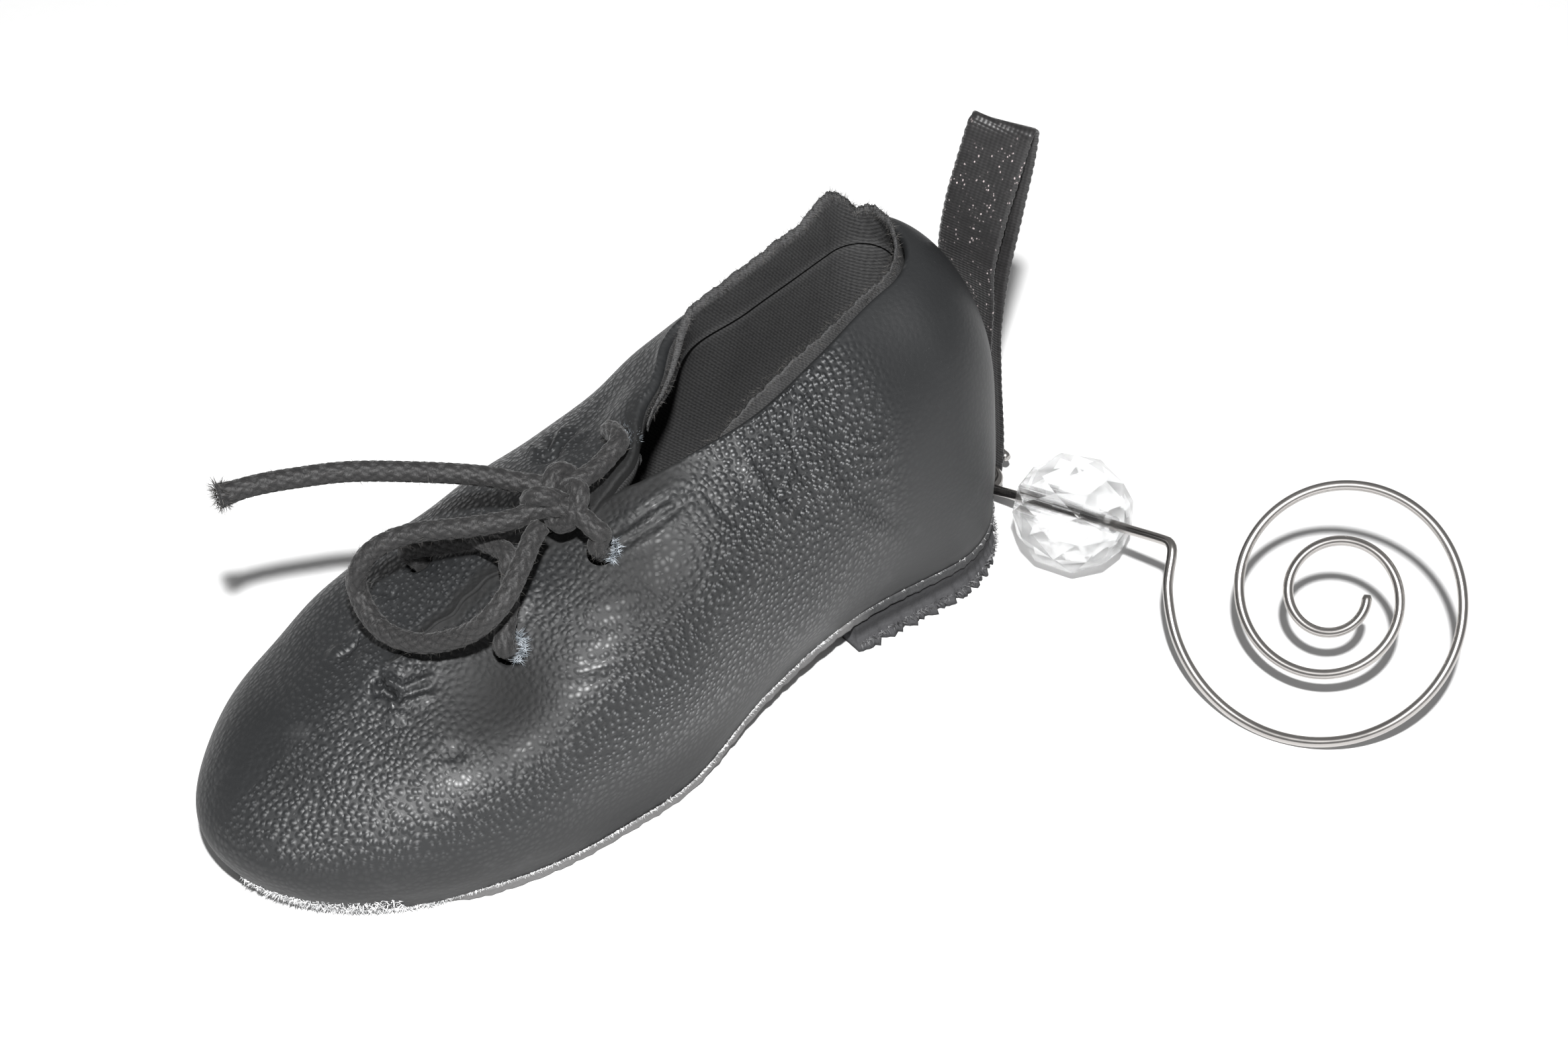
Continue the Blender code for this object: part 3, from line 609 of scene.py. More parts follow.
def board_finish():
    """Dark sock of the insole: fine felt with a faint rib."""
    f = Finish("insole_felt", Specular_IOR_Level=0.2)
    place = f.place()
    felt = f.noise(place, 3000.0, 4.0)
    rib = f.ribs(place, "X", 420.0, 2.0)
    colour = f.mixed((felt * 0.7 + rib * 0.3).clamp(), (0.016, 0.016, 0.016), (0.055, 0.054, 0.052))
    return f.feed(Base_Color=colour, Roughness=0.84 + felt * 0.12, Normal=f.bump(felt, 0.0001, 0.7))


def cord_finish():
    """Black braided cord: dull strands that catch a brown-grey light on their tops."""
    f = Finish("black_braided_cord", Specular_IOR_Level=0.4, Sheen_Weight=0.09, Sheen_Roughness=0.5)
    place = f.place()
    strand = f.attribute("strand")
    yarn = f.noise(place, 4200.0, 3.0)
    patch = f.noise(place, 330.0, 2.0)
    # Painted highlight on the braid's tops and painted shade between its strands.
    tone = (strand * (0.35 + 0.9 * patch) * (0.5 + yarn * 0.8)).clamp()
    colour = f.mixed(tone, (0.0040, 0.0040, 0.0043), (0.025, 0.024, 0.024))
    gloss = 0.66 - strand * 0.15 + yarn * 0.10
    return f.feed(Base_Color=colour, Roughness=gloss, Normal=f.bump(yarn, 0.00010, 0.9))


# Threads of the satin, in metres
THREAD_PITCH = 0.00032
WARP_PITCH = 0.00045


def satin_finish():
    """Black satin ribbon: fine threads across, and bright thread dots on the front strand."""
    f = Finish("black_satin_ribbon", Specular_IOR_Level=0.5, Sheen_Weight=0.15)
    surface = f.surface()
    place = f.place()
    run = f.split(surface, "X")
    over = f.split(surface, "Y")
    thread = (run * (2 * math.pi / THREAD_PITCH)).sine() * 0.5 + 0.5
    warp = (over * (2 * math.pi / WARP_PITCH)).sine() * 0.5 + 0.5
    loose = f.noise(place, 900.0, 3.0)
    slanted = f.node("ShaderNodeCombineXYZ", {}, {0: run * 1.3 - over * 0.9, 1: over * 2.1 + run * 0.5})
    cell = f.cells(slanted, 1350.0, 0.9, "Distance")
    dot = f.step(cell, 0.30, 0.14) * f.step(loose, 0.46, 0.58) * f.attribute("front")
    weave = (thread * 0.6 + warp * 0.4).clamp()
    colour = f.mixed((weave * loose * 1.3).clamp(), (0.0045, 0.0042, 0.0045), (0.021, 0.0195, 0.02))
    colour = f.mixed(dot * 0.8, colour, (0.55, 0.47, 0.47))
    gloss = 0.36 + loose * 0.18
    return f.feed(Base_Color=colour, Roughness=gloss, Normal=f.bump(weave + dot, 0.00005, 0.8))


def steel_finish():
    """Drawn bright wire with fine lengthwise streaks."""
    f = Finish("bright_drawn_wire", Metallic=1.0)
    surface = f.surface()
    streak = f.noise(f.vector("MULTIPLY", surface, (60.0, 2600.0, 1.0)), 1.0, 4.0)
    spot = f.noise(f.place(), 700.0, 3.0)
    colour = f.mixed(streak, (0.26, 0.245, 0.235), (0.66, 0.64, 0.62))
    gloss = 0.12 + streak * 0.20 + spot * 0.06
    return f.feed(Base_Color=colour, Roughness=gloss, Normal=f.bump(streak, 0.00003, 0.5))


def crystal_finish():
    """Clear cut glass with a trace of cloud."""
    f = Finish("clear_cut_crystal", Transmission_Weight=1.0, IOR=1.5, Alpha=0.62)
    cloud = f.noise(f.place(), 300.0, 2.0)
    colour = f.mixed(cloud, (0.955, 0.965, 0.972), (0.99, 0.99, 0.99))
    return f.feed(Base_Color=colour, Roughness=cloud * 0.02)


def fibre_finish(name, dark, light):
    """Loose fibres, paler and darker ones mixed."""
    f = Finish(name, Specular_IOR_Level=0.3, Roughness=0.8)
    mix = f.noise(f.place(), 1900.0, 2.0)
    return f.feed(Base_Color=f.mixed(f.step(mix, 0.35, 0.65), dark, light))


def floor_finish():
    """White paper under the shoe."""
    f = Finish("white_paper_floor", Specular_IOR_Level=0.1, Roughness=0.9)
    speck = f.noise(f.place(), 900.0, 3.0)
    return f.feed(Base_Color=f.mixed(speck, (0.73, 0.73, 0.73), (0.75, 0.75, 0.75)))


LEATHER = leather_finish()
LINING = lining_finish()
SOLE_SUEDE = suede_finish("grey_sole_suede", (0.105, 0.104, 0.104), (0.21, 0.207, 0.206),
                          (0.034, 0.035, 0.037))
HEEL_SUEDE = suede_finish("dark_heel_suede", (0.014, 0.014, 0.015), (0.042, 0.042, 0.044),
                          (0.062, 0.062, 0.065))
FELT = board_finish()
CORD = cord_finish()
SATIN = satin_finish()
STEEL = steel_finish()
CRYSTAL = crystal_finish()
PALE_FIBRE = fibre_finish("pale_loose_fibre", (0.45, 0.455, 0.46), (0.90, 0.90, 0.90))
TORN_FIBRE = fibre_finish("grey_torn_fibre", (0.14, 0.16, 0.18), (0.42, 0.455, 0.49))
HEEL_FIBRE = fibre_finish("heel_loose_fibre", (0.03, 0.03, 0.031), (0.20, 0.20, 0.205))
DARK_FIBRE = fibre_finish("dark_loose_fibre", (0.015, 0.015, 0.015), (0.09, 0.085, 0.08))


def placed(name, data):
    """An object of the scene with its data."""
    thing = bpy.data.objects.new(name, data)
    bpy.context.scene.collection.objects.link(thing)
    return thing


def mesh_piece(name, points, faces, materials, slots=None, uv=None, fields=None):
    """A mesh from points in millimetres, with its faces turned outwards."""
    mesh = bpy.data.meshes.new(name)
    mesh.from_pydata((np.asarray(points, float) * MM).tolist(), [], faces)
    if uv is not None:
        layer = mesh.uv_layers.new(name="surface")
        layer.data.foreach_set("uv", np.asarray(uv, np.float32).ravel())
    for field, values in (fields or {}).items():
        made = mesh.attributes.new(field, "FLOAT", "POINT")
        made.data.foreach_set("value", np.asarray(values, np.float32).ravel())
    for material in materials:
        mesh.materials.append(material)
    if slots is not None:
        mesh.polygons.foreach_set("material_index", np.asarray(slots, np.int32))
    work = bmesh.new()
    work.from_mesh(mesh)
    bmesh.ops.recalc_face_normals(work, faces=work.faces)
    work.to_mesh(mesh)
    work.free()
    mesh.shade_smooth()
    return placed(name, mesh)


def grid_faces(rows, columns, closed_rows, closed_columns, u=None, v=None):
    """Quads of a grid closed round either way, and the UV of their corners where u and v are given."""
    r, c = np.meshgrid(np.arange(rows if closed_rows else rows - 1),
                       np.arange(columns if closed_columns else columns - 1), indexing="ij")
    r, c = r.ravel(), c.ravel()
    r2, c2 = (r + 1) % rows, (c + 1) % columns
    corners = [r * columns + c, r * columns + c2, r2 * columns + c2, r2 * columns + c]
    faces = np.stack(corners, axis=1).tolist()
    if u is None:
        return faces, []
    u, v = np.asarray(u), np.asarray(v)
    across = np.stack([v[c], v[c + 1], v[c + 1], v[c]], axis=1)
    down = np.stack([u[r], u[r], u[r + 1], u[r + 1]], axis=1)
    return faces, np.stack([down, across], axis=2).reshape(-1, 2).tolist()


def segment_distance(points, a, b):
    """Distance of points to a segment, and the place along it."""
    way = b - a
    t = held(((points - a) @ way) / max(way @ way, 1e-9))
    return np.linalg.norm(points - a - t[:, None] * way, axis=1), t


def crease_heights(points):
    """Height of all creases at the leather's points. A crease of one place is a round dent or bump."""
    total = np.zeros(len(points))
    for height, width, side, places in CREASES:
        line = upper_point([p[0] for p in places], [p[1] for p in places], side)
        if len(line) == 1:
            nearest = np.linalg.norm(points - line[0], axis=1)
            total += height * hump(nearest, width)
            continue
        lengths = np.linalg.norm(np.diff(line, axis=0), axis=1)
        run = np.concatenate([[0], np.cumsum(lengths)])
        nearest = np.full(len(points), 1e9)
        share = np.zeros(len(points))
        for i in range(len(line) - 1):
            distance, t = segment_distance(points, line[i], line[i + 1])
            closer = distance < nearest
            nearest[closer] = distance[closer]
            share[closer] = ((run[i] + t * lengths[i]) / run[-1])[closer]
        taper = CREASE_TIP + (1 - CREASE_TIP) * soft_step(np.minimum(share, 1 - share) / CREASE_TAPER)
        total += height * hump(nearest, width) * taper
    for height, rates, phase in LASTING_WAVES:
        total += height * np.sin(points @ np.array(rates) + phase)
    return total


def grain_amount(along, up, side):
    """How full the leather's grain is: smooth at the heel counter, above the sole and down the far toe."""
    counter = COUNTER_GRAIN + (1 - COUNTER_GRAIN) * soft_step((along - COUNTER_FROM) / COUNTER_FADE)
    foot = FOOT_GRAIN + (1 - FOOT_GRAIN) * held((up - FOOT_FROM) / FOOT_FADE)
    low_toe = held((along - FAR_TOE_FROM) / FAR_TOE_FADE) * held((FAR_TOE_TOP - up) / FAR_TOE_TOP_FADE)
    far_toe = 1 - np.where(side > 0, FAR_TOE_LOSS * low_toe, 0)
    puckered = hump(along - COLLAR_PLACE, COLLAR_REACH) * held((up - COLLAR_FROM) / COLLAR_FADE)
    collar = 1 + np.where(side < 0, COLLAR_GAIN * puckered, 0)
    level = held((up - VAMP_LOW) / VAMP_LOW_FADE) * held((VAMP_HIGH - up) / VAMP_HIGH_FADE)
    vamp = 1 + VAMP_GAIN * hump(along - VAMP_PLACE, VAMP_REACH) * level
    return counter * foot * far_toe * vamp * collar


def gloss_and_shade_amount(points, slit_shade):
    """How glossy the leather is, and how much painted shade darkens it: rough and dark in the hollow, along
    the slit, by the knot and low down.
    """
    hollow = hump(np.linalg.norm(points - upper_point(*HOLLOW_PLACE), axis=1), HOLLOW_REACH)
    instep = hump(np.linalg.norm(points - upper_point(*INSTEP_PLACE), axis=1), INSTEP_REACH)
    low = 1 - soft_step((points[:, 2] - LOW_FROM) / LOW_FADE)
    return (1 - hollow) * (1 - slit_shade) * (1 - INSTEP_DULL_SHADE * instep) * (1 - LOW_DULL_SHADE * low)


def leather_base(turns, up):
    """The upper's face: slit drawn closed, far rim drawn out, and lower edge set down on the sole."""
    along, side = turn_to_place(turns)
    base = upper_at_turn(turns, up)
    _, _, _, _, heel_round, toe_round = LEVELS[-1]
    half = section("rim", along) * BALL_HALF * round_ends(along, heel_round, toe_round)
    drawn = soft_step((along - SLIT_FROM) / SLIT_FADE) * soft_step((up - SLIT_FOOT) / (1 - SLIT_FOOT))
    base[:, 1] += (waves(base[:, 0], SLIT_COURSE) - side * np.maximum(half - SLIT_GAP, 0)) * drawn
    base[:, 2] -= SLIT_DIP * drawn ** 2
    pull = FAR_RIM_PULL * hump(along - FAR_RIM_PLACE, FAR_RIM_REACH)
    base[:, 1] += np.where(side > 0, pull, 0) * soft_step((up - FAR_RIM_FROM) / (1 - FAR_RIM_FROM))
    base[:, 2] -= SEAT_GAP * max(0.0, 1 - up / SEAT_SHARE)
    base[:, 2] -= TOE_HEM * soft_step((along - TOE_FROM) / TOE_FADE) * max(0.0, 1 - up / HEM_SHARE)
    return base


def make_leather():
    """The upper's shell: outer face with its creases, the rolled rim, the inner face, and four lace holes."""
    turns = np.arange(LEATHER_ROUND) / LEATHER_ROUND
    along, side = turn_to_place(turns)
    ups = np.linspace(0, 1, LEATHER_UP)
    bases = np.stack([leather_base(turns, up) for up in ups])
    normals = np.stack([upper_normal(turns, up) for up in ups])
    rise = crease_heights(bases.reshape(-1, 3)).reshape(bases.shape[:2])
    fade = np.minimum(1.0, ups / CREASE_FOOT) * np.minimum(1.0, RIM_CREASE + (1 - ups) / CREASE_TOP)
    rows = list(bases + normals * (rise * fade[:, None])[..., None])
    grain = [grain_amount(along, up, side) for up in ups]
    collar = soft_step((RIM_FRONT - along) / HANG_FADE)
    hung = soft_step((HANG_FRONT - along) / HANG_FADE)
    rub = held((ups - WEAR_FROM) / (1 - WEAR_FROM))
    wear = [WEAR_ALL + (1 - WEAR_ALL) * share * collar for share in rub]
    # Painted shade along the slit's lip, high on the wall in front of the collar.
    slit_shade_rise = soft_step((ups - SLIT_SHADE_FROM) / SLIT_SHADE_FADE)
    slit_shade = [SLIT_DULL_SHADE * (1 - collar) * share for share in slit_shade_rise]
    top = rows[-1]
    edge_up = rim_way(turns, RIM_BELOW)
    inner_top = leather_base(turns, 1.0) - WALL * normals[-1]
    for k in range(1, RIM_STEPS):
        share = k / RIM_STEPS
        crown = RIM_CROWN * (SLIT_CROWN + (1 - SLIT_CROWN) * collar) * math.sin(math.pi * share)
        rows.append(top + (inner_top - top) * share + edge_up * crown[:, None])
        grain.append(np.full_like(along, RIM_GRAIN))
        wear.append(WEAR_ALL + WEAR_RIM * collar)
        slit_shade.append(SLIT_DULL_SHADE * (1 - collar))
    outer_rows = len(rows)
    foot = leather_base(turns, 0.0) - WALL * upper_normal(turns, 0.0)
    shelf = leather_base(turns, 1.0) - (WALL + HANG_STEP) * upper_normal(turns, 1.0)
    for up in np.linspace(1, 0, INNER_STEPS):
        base = leather_base(turns, up)
        dent = np.minimum(crease_heights(base) + DENT_SLACK, 0) * min(1.0, (1 - up) / CREASE_TOP)
        wall = base + (dent - WALL)[:, None] * upper_normal(turns, up)
        hang = hung * (HANG_SHARE + (1 - HANG_SHARE) * up) if up < 1 else 0 * hung
        rows.append(wall + (foot + (shelf - foot) * up - wall) * hang[:, None])
        for field in (grain, wear, slit_shade):
            field.append(np.zeros_like(along))
    grid = np.stack(rows, axis=0)
    count = grid.shape[0]
    points = grid.reshape(-1, 3)
    faces, _ = grid_faces(count, LEATHER_ROUND, True, True)
    face_rows = np.repeat(np.arange(count), LEATHER_ROUND)
    slots = np.where((face_rows >= outer_rows - 1) & (face_rows < count - 1), 1, 0)
    points, faces, slots = open_holes(points, faces, slots)
    fields = {"grain": np.concatenate(grain), "wear": np.concatenate(wear),
              "gloss_and_painted_shade": gloss_and_shade_amount(points, np.concatenate(slit_shade))}
    piece = mesh_piece("upper_leather", points, faces, [LEATHER, LINING], slots, fields=fields)
    join_hole_walls(piece)
    return piece


def open_holes(points, faces, slots):
    """Takes out the faces over each lace hole and draws the hole's border onto its circle."""
    face_array = np.array(faces)
    keep = np.ones(len(faces), bool)
    for name in HOLES:
        middle, normal = hole_frame(name)
        offset = points - middle
        height = offset @ normal
        flat = offset - height[:, None] * normal
        reach = np.linalg.norm(flat, axis=1)
        beside = np.abs(height) < HOLE_DEPTH
        inside = beside & (reach < HOLE_RADIUS)
        taken = inside[face_array].sum(axis=1) >= 2
        taken &= beside[face_array].all(axis=1)
        keep &= ~taken
        border = np.zeros(len(points), bool)
        border[face_array[taken].ravel()] = True
        shared = np.zeros(len(points), bool)
        shared[face_array[keep].ravel()] = True
        move = border & shared & beside
        points[move] += flat[move] * (HOLE_RADIUS / np.maximum(reach[move], 0.05) - 1)[:, None]
    return points, [faces[i] for i in np.flatnonzero(keep)], slots[keep]


def join_hole_walls(piece):
    """Closes each hole's wall between the outer and inner face."""
    work = bmesh.new()
    work.from_mesh(piece.data)
    open_edges = [e for e in work.edges if e.is_boundary]
    for name in HOLES:
        middle, _ = hole_frame(name)
        mine = [e for e in open_edges if (e.verts[0].co / MM - Vector(middle)).length < HOLE_REACH]
        bmesh.ops.bridge_loops(work, edges=mine)
    loose = [v for v in work.verts if not v.link_faces]
    bmesh.ops.delete(work, geom=loose, context="VERTS")
    bmesh.ops.recalc_face_normals(work, faces=work.faces)
    work.to_mesh(piece.data)
    work.free()
    piece.data.shade_smooth()


# Collar lining: the turned edge of the twill, with its rise along the near and far side
LINING_THICK = 0.8
LINING_GAP = 0.4
LINING_FRONT = 0.535
LINING_UPRIGHT = 3.0
LINING_DROP = 0.6
LINING_STEPS = 320
LINING_ROWS = 7
LINING_BELOW = 0.98
LINING_RIPPLE = 0.07
RIPPLE_RATE = 190
RIPPLE_SKEW = 4.0
LINING_RAG = ((0.10, 410, 0.0), (0.08, 977, 1.0), (0.06, 1730, 2.0))
LINING_RISE = (
    (0.00, 4.0, 4.0),
    (0.06, 2.4, 5.4),
    (0.16, 2.0, 5.6),
    (0.36, 2.2, 4.2),
    (0.50, 1.2, 1.8),
)
NOTCH_ALONG = 0.022
NOTCH_WIDTH = 0.010
NOTCH_DEPTH = 1.4
PEAK_ALONG = 0.085
PEAK_WIDTH = 0.045
PEAK_RISE = 1.6
FRONT_FADE = 0.14
FRONT_RISE = 0.15
FRONT_THICK = 0.3


def make_lining():
    """The lining's turned edge, a soft band with a ragged top, and the line along its crest."""
    turns = np.linspace(-near_turn(LINING_FRONT), near_turn(LINING_FRONT), LINING_STEPS)
    along, side = turn_to_place(turns)
    places, near_rise, far_rise = zip(*LINING_RISE)
    peak = PEAK_RISE * hump(along - PEAK_ALONG, PEAK_WIDTH)
    notch = NOTCH_DEPTH * hump(along - NOTCH_ALONG, NOTCH_WIDTH)
    far = smooth(places, far_rise, along) + peak - notch
    front = soft_step((LINING_FRONT - along) / FRONT_FADE)
    rise = np.where(side < 0, smooth(places, near_rise, along), far) * (FRONT_RISE + (1 - FRONT_RISE) * front)
    ragged = waves(turns, LINING_RAG)
    rim = leather_base(turns, 1.0)
    outward = upper_normal(turns, 1.0)
    stand = unit(rim_way(turns, LINING_BELOW) + np.array([0, 0, LINING_UPRIGHT]))
    sheets = []
    for thick in (0.0, LINING_THICK):
        depth = WALL + LINING_GAP + thick * (FRONT_THICK + (1 - FRONT_THICK) * front)
        edge = rim - depth[:, None] * outward
        rows = [edge - np.array([0, 0, drop]) for drop in np.linspace(LINING_DROP, 0, LINING_ROWS)]
        for k in range(1, LINING_ROWS + 1):
            share = k / LINING_ROWS
            lift = (rise + ragged * share ** 3) * share
            ripple = LINING_RIPPLE * share * np.sin(turns * RIPPLE_RATE + RIPPLE_SKEW * share)
            rows.append(edge + stand * lift[:, None] + outward * ripple[:, None])
        sheets.append(rows)
    outer, inner = sheets
    grid = np.stack(outer + inner[::-1], axis=1)
    count, across = grid.shape[:2]
    faces, _ = grid_faces(count, across, False, True)
    faces += end_caps(count, across)
    crest = (outer[-1] + inner[-1]) / 2
    return mesh_piece("collar_twill", grid.reshape(-1, 3), faces, [LINING]), crest


# Sole pieces, and the uneven edges of each: height, waves round the edge, and phase
SOLE_TIP = 0.0008
SOLE_STEPS = 220
SOLE_ACROSS = 26
EDGE_ROWS = 6
FAR_RUN = 3.0
LEAST_HALF = 0.3
LEAST_SHARE = 0.02
SOLE_UNDERCUT = 0.2
SOLE_WEAR = ((0.06, 310, 0.0), (0.05, 733, 1.2))
SOCK_WEAR = ((0.03, 200, 0.0),)
# The outsole's cut edge is darker from the heel to the arch: painted shade under the upper.
DARK_EDGE_END = 0.30
DARK_EDGE_FADE = 0.06

# Heel block: a groove round it, and a torn lower edge that flares out
HEEL_INSET = 0.1
HEEL_SLACK = 0.05
HEEL_FLARE = 0.8
FLARE_POWER = 1.5
HEEL_JAGS = ((0.22, 97, 0.0), (0.18, 171, 0.7), (0.15, 263, 1.9))
GROOVE_DEPTH = 0.25
GROOVE_PLACE = 0.38
GROOVE_WIDTH = 0.09
# The heel block's side is paler below this share down and darker above it: painted shade under the upper's
# edge.
HEEL_PALE_FROM = 0.36
HEEL_PALE_FADE = 0.1


def sole_outline(along, side, grow):
    """Edge of the upper's sole line, grown outwards by a few tenths or drawn in."""
    level = LEVELS[0]
    place = level_line(level, along, side)
    ahead = level_line(level, held(along + OUTLINE_STEP), side)
    behind = level_line(level, held(along - OUTLINE_STEP), side)
    way = unit((ahead - behind)[..., :2])
    outward = np.stack([-way[..., 1], way[..., 0]], axis=-1) * np.sign(-side)
    place[..., :2] += np.broadcast_to(grow, along.shape)[..., None] * outward
    return place


def heel_block_front():
    """Place of the heel block's front along the sole line."""
    heel_x, toe_x = level_ends(LEVELS[0])
    return (HEEL_BLOCK_FRONT_X - heel_x) / (toe_x - heel_x)


def plate_piece(name, stations, grow, top, thick, material, ragged, mark):
    """Plate under the foot: rows over its top, down the far edge, back below it and up the near edge.

    ragged draws the edge in, by the run along it and the share down it. mark shows the edge to the finish.
    """
    near = sole_outline(stations, NEAR, grow)
    far = sole_outline(stations, FAR, grow)
    middle = (near + far) / 2
    half = np.maximum(np.linalg.norm((near - middle)[:, :2], axis=1), LEAST_HALF)
    columns = len(stations)
    run = np.linspace(0, 1, columns)
    over = np.arange(SOLE_ACROSS + 1) / SOLE_ACROSS
    fall = np.arange(1, EDGE_ROWS) / EDGE_ROWS
    order = [(k, 0.0) for k in over] + [(1.0, k) for k in fall]
    order += [(1 - k, 1.0) for k in over] + [(0.0, 1 - k) for k in fall]
    rows, edge = [], []
    for across, down in order:
        at_edge = across in (0.0, 1.0)
        inset = ragged(run + (FAR_RUN if across > 0.5 else 0.0), down) if at_edge else 0.0
        shrink = np.maximum(1 - inset / half, LEAST_SHARE)
        place = middle + (near + (far - near) * across - middle) * shrink[:, None]
        place[:, 2] = top - thick * down
        rows.append(place)
        edge.append(np.broadcast_to(mark(down) if at_edge else 0.0, columns))
    faces, _ = grid_faces(len(rows), columns, True, False)
    faces.append(tuple(r * columns for r in range(len(rows) - 1, -1, -1)))
    faces.append(tuple(r * columns + columns - 1 for r in range(len(rows))))
    return mesh_piece(name, np.concatenate(rows), faces, [material], fields={"edge": np.concatenate(edge)})


def sole_top(along):
    """Top of the outsole, a little below the upper."""
    return sole_height(along) - SEAT_GAP


def sole_lip(along):
    """How far the outsole stands out from the upper's edge. It is tucked in under the toe."""
    return OUTSOLE_LIP - TOE_TUCK * soft_step((along - TOE_FROM) / TOE_FADE)


def spaced(first, last, count):
    """Places along, closer together towards the round ends."""
    share = np.linspace(0, 1, count)
    return first + (last - first) * (1 - np.cos(np.pi * share)) / 2


def heel_rag(run, down):
    """How far the heel block's edge is drawn in: a groove, then a flare with torn notches."""
    groove = GROOVE_DEPTH * hump(down - GROOVE_PLACE, GROOVE_WIDTH)
    return HEEL_SLACK + groove + (waves(run, HEEL_JAGS) - HEEL_FLARE) * down ** FLARE_POWER


def make_soles():
    """Outsole, insole and heel block, all plates that follow the sole line."""
    stations = spaced(SOLE_TIP, 1 - SOLE_TIP, SOLE_STEPS)
    # Painted shade on the outsole's edge near the heel.
    dark = soft_step((DARK_EDGE_END - stations) / DARK_EDGE_FADE)
    outsole = plate_piece("outsole_suede", stations, sole_lip(stations), sole_top(stations), OUTSOLE_THICK,
                          SOLE_SUEDE, lambda run, down: SOLE_UNDERCUT * down + waves(run, SOLE_WEAR),
                          lambda down: dark)
    inner = spaced(*INSOLE_ENDS, SOLE_STEPS // 2)
    insole = plate_piece("insole_sock", inner, -INSOLE_INSET, sole_height(inner) + INSOLE_THICK, INSOLE_THICK,
                         FELT, lambda run, down: waves(run, SOCK_WEAR), lambda down: 0.0)
    turn = np.linspace(0, np.pi / 3, SOLE_STEPS // 2)
    block = SOLE_TIP + 2 * (heel_block_front() - SOLE_TIP) * (1 - np.cos(turn))
    # The heel block's side keeps the dark suede colour on top, a painted shade, and turns pale lower down.
    heel = plate_piece("heel_block", block, -HEEL_INSET, HEEL_BLOCK_HEIGHT, HEEL_BLOCK_HEIGHT, HEEL_SUEDE,
                       heel_rag, lambda down: soft_step((down - HEEL_PALE_FROM) / HEEL_PALE_FADE))
    return outsole, insole, heel


# Lace routes, the same as in the solids. The cords run on through the knot and into the holes.
KNOT_MIDDLE = (-39.4, -3.7, 29.2)
KNOT_SIZE = (6.8, 6.2, 4.4)
KNOT_FULLNESS = 1.15
KNOT_POINTS = 300
FAR_STRAND_ROUTE = ((-35.0, -3.2, 29.8), (-33.4, -2.8, 30.1), (-31.6, -2.1, 30.5))
NEAR_STRAND_ROUTE = ((-38.8, -8.3, 28.4), (-38.3, -8.5, 27.6))
LOOP_ROUTE = (
    (-44.2, -3.2, 28.9), (-47.4, -1.1, 28.3), (-51.4, 2.2, 27.4), (-54.4, 3.8, 26.0), (-56.2, 4.0, 24.0),
    (-56.5, 3.6, 22.0), (-56.7, 1.4, 20.7), (-56.3, -1.2, 20.3), (-54.8, -4.4, 20.9), (-52.6, -7.1, 22.6),
    (-51.0, -8.9, 25.0), (-48.7, -8.8, 26.6), (-46.0, -7.4, 28.0), (-44.0, -6.2, 28.9),
)
END_ROUTE = (
    (-41.2, -0.7, 29.8), (-43.6, 1.8, 30.2), (-47.6, 5.0, 30.6), (-53.0, 8.8, 31.0), (-57.6, 11.0, 31.2),
    (-61.0, 12.4, 31.2), (-64.0, 13.3, 31.0),
)
BAR_CROWN = 0.3
BAR_SHARES = (0.3, 0.4, 0.5, 0.6, 0.7)
LACE_CLEAR = 0.5
MOUTH_LEAD = 1.7
HOLE_TUCK = 1.0
LACE_STEP = 0.17
LACE_SIDES = 42
BRAID_STRANDS = 7
BRAID_PITCH = 1.5
BRAID_HEIGHT = 0.16
LACE_SLACK = 0.94
END_FLARE = 1.22
END_FLARE_RUN = 2.6
BOW_KNOT_PASS = ((-39.6, -5.6, 29.3), (-41.6, -3.9, 29.2))
BOW_END = (-42.9, -5.7, 29.1)
TAIL_KNOT_PASS = ((-37.2, -3.2, 29.6), (-39.4, -2.2, 29.7))


def hole_mouth(name):
    """The last places of a lace, straight down through a hole's mouth."""
    middle, normal = hole_frame(name)
    return [tuple(middle + normal * rise) for rise in (MOUTH_LEAD, SEAT_GAP, -HOLE_TUCK)]


def bar_route(far, near):
    """Over the throat from one hole to the other, a little clear of the leather."""
    far_along, far_up, far_side = HOLES[far]
    near_along, near_up, near_side = HOLES[near]
    lift = LACE_WIDTH / 2 + LACE_CLEAR
    route = hole_mouth(far)[::-1]
    for share in BAR_SHARES:
        along = far_along + (near_along - far_along) * share
        if share < 0.5:
            up = far_up + (1 - far_up) * share * 2
            side = far_side
        else:
            up = 1 - (1 - near_up) * (share * 2 - 1)
            side = near_side
        crown = lift + BAR_CROWN * math.sin(math.pi * share)
        route.append(upper_point(along, up, side) + np.array([0, 0, crown]))
    return route + hole_mouth(near)


def frames_along(line, closed=False):
    """Two vectors across a line at each point, carried along without twisting."""
    if closed:
        way = unit(np.roll(line, -1, axis=0) - np.roll(line, 1, axis=0))
    else:
        way = unit(np.gradient(line, axis=0))
    first = np.cross(way[0], (0.0, 0.0, 1.0))
    if np.linalg.norm(first) < 0.1:
        first = np.cross(way[0], (0.0, 1.0, 0.0))
    across = [first / np.linalg.norm(first)]
    for k in range(1, len(line)):
        carried = across[-1] - way[k] * (across[-1] @ way[k])
        across.append(carried / np.linalg.norm(carried))
    across = np.array(across)
    return across, np.cross(way, across)


def rings(line, radius, sides, closed=False):
    """Rings of points round a line, by one radius or by a grid of radii."""
    across, other = frames_along(line, closed)
    angle = 2 * np.pi * np.arange(sides) / sides
    spread = np.cos(angle)[:, None] * across[:, None] + np.sin(angle)[:, None] * other[:, None]
    return line[:, None] + np.asarray(radius)[..., None] * spread


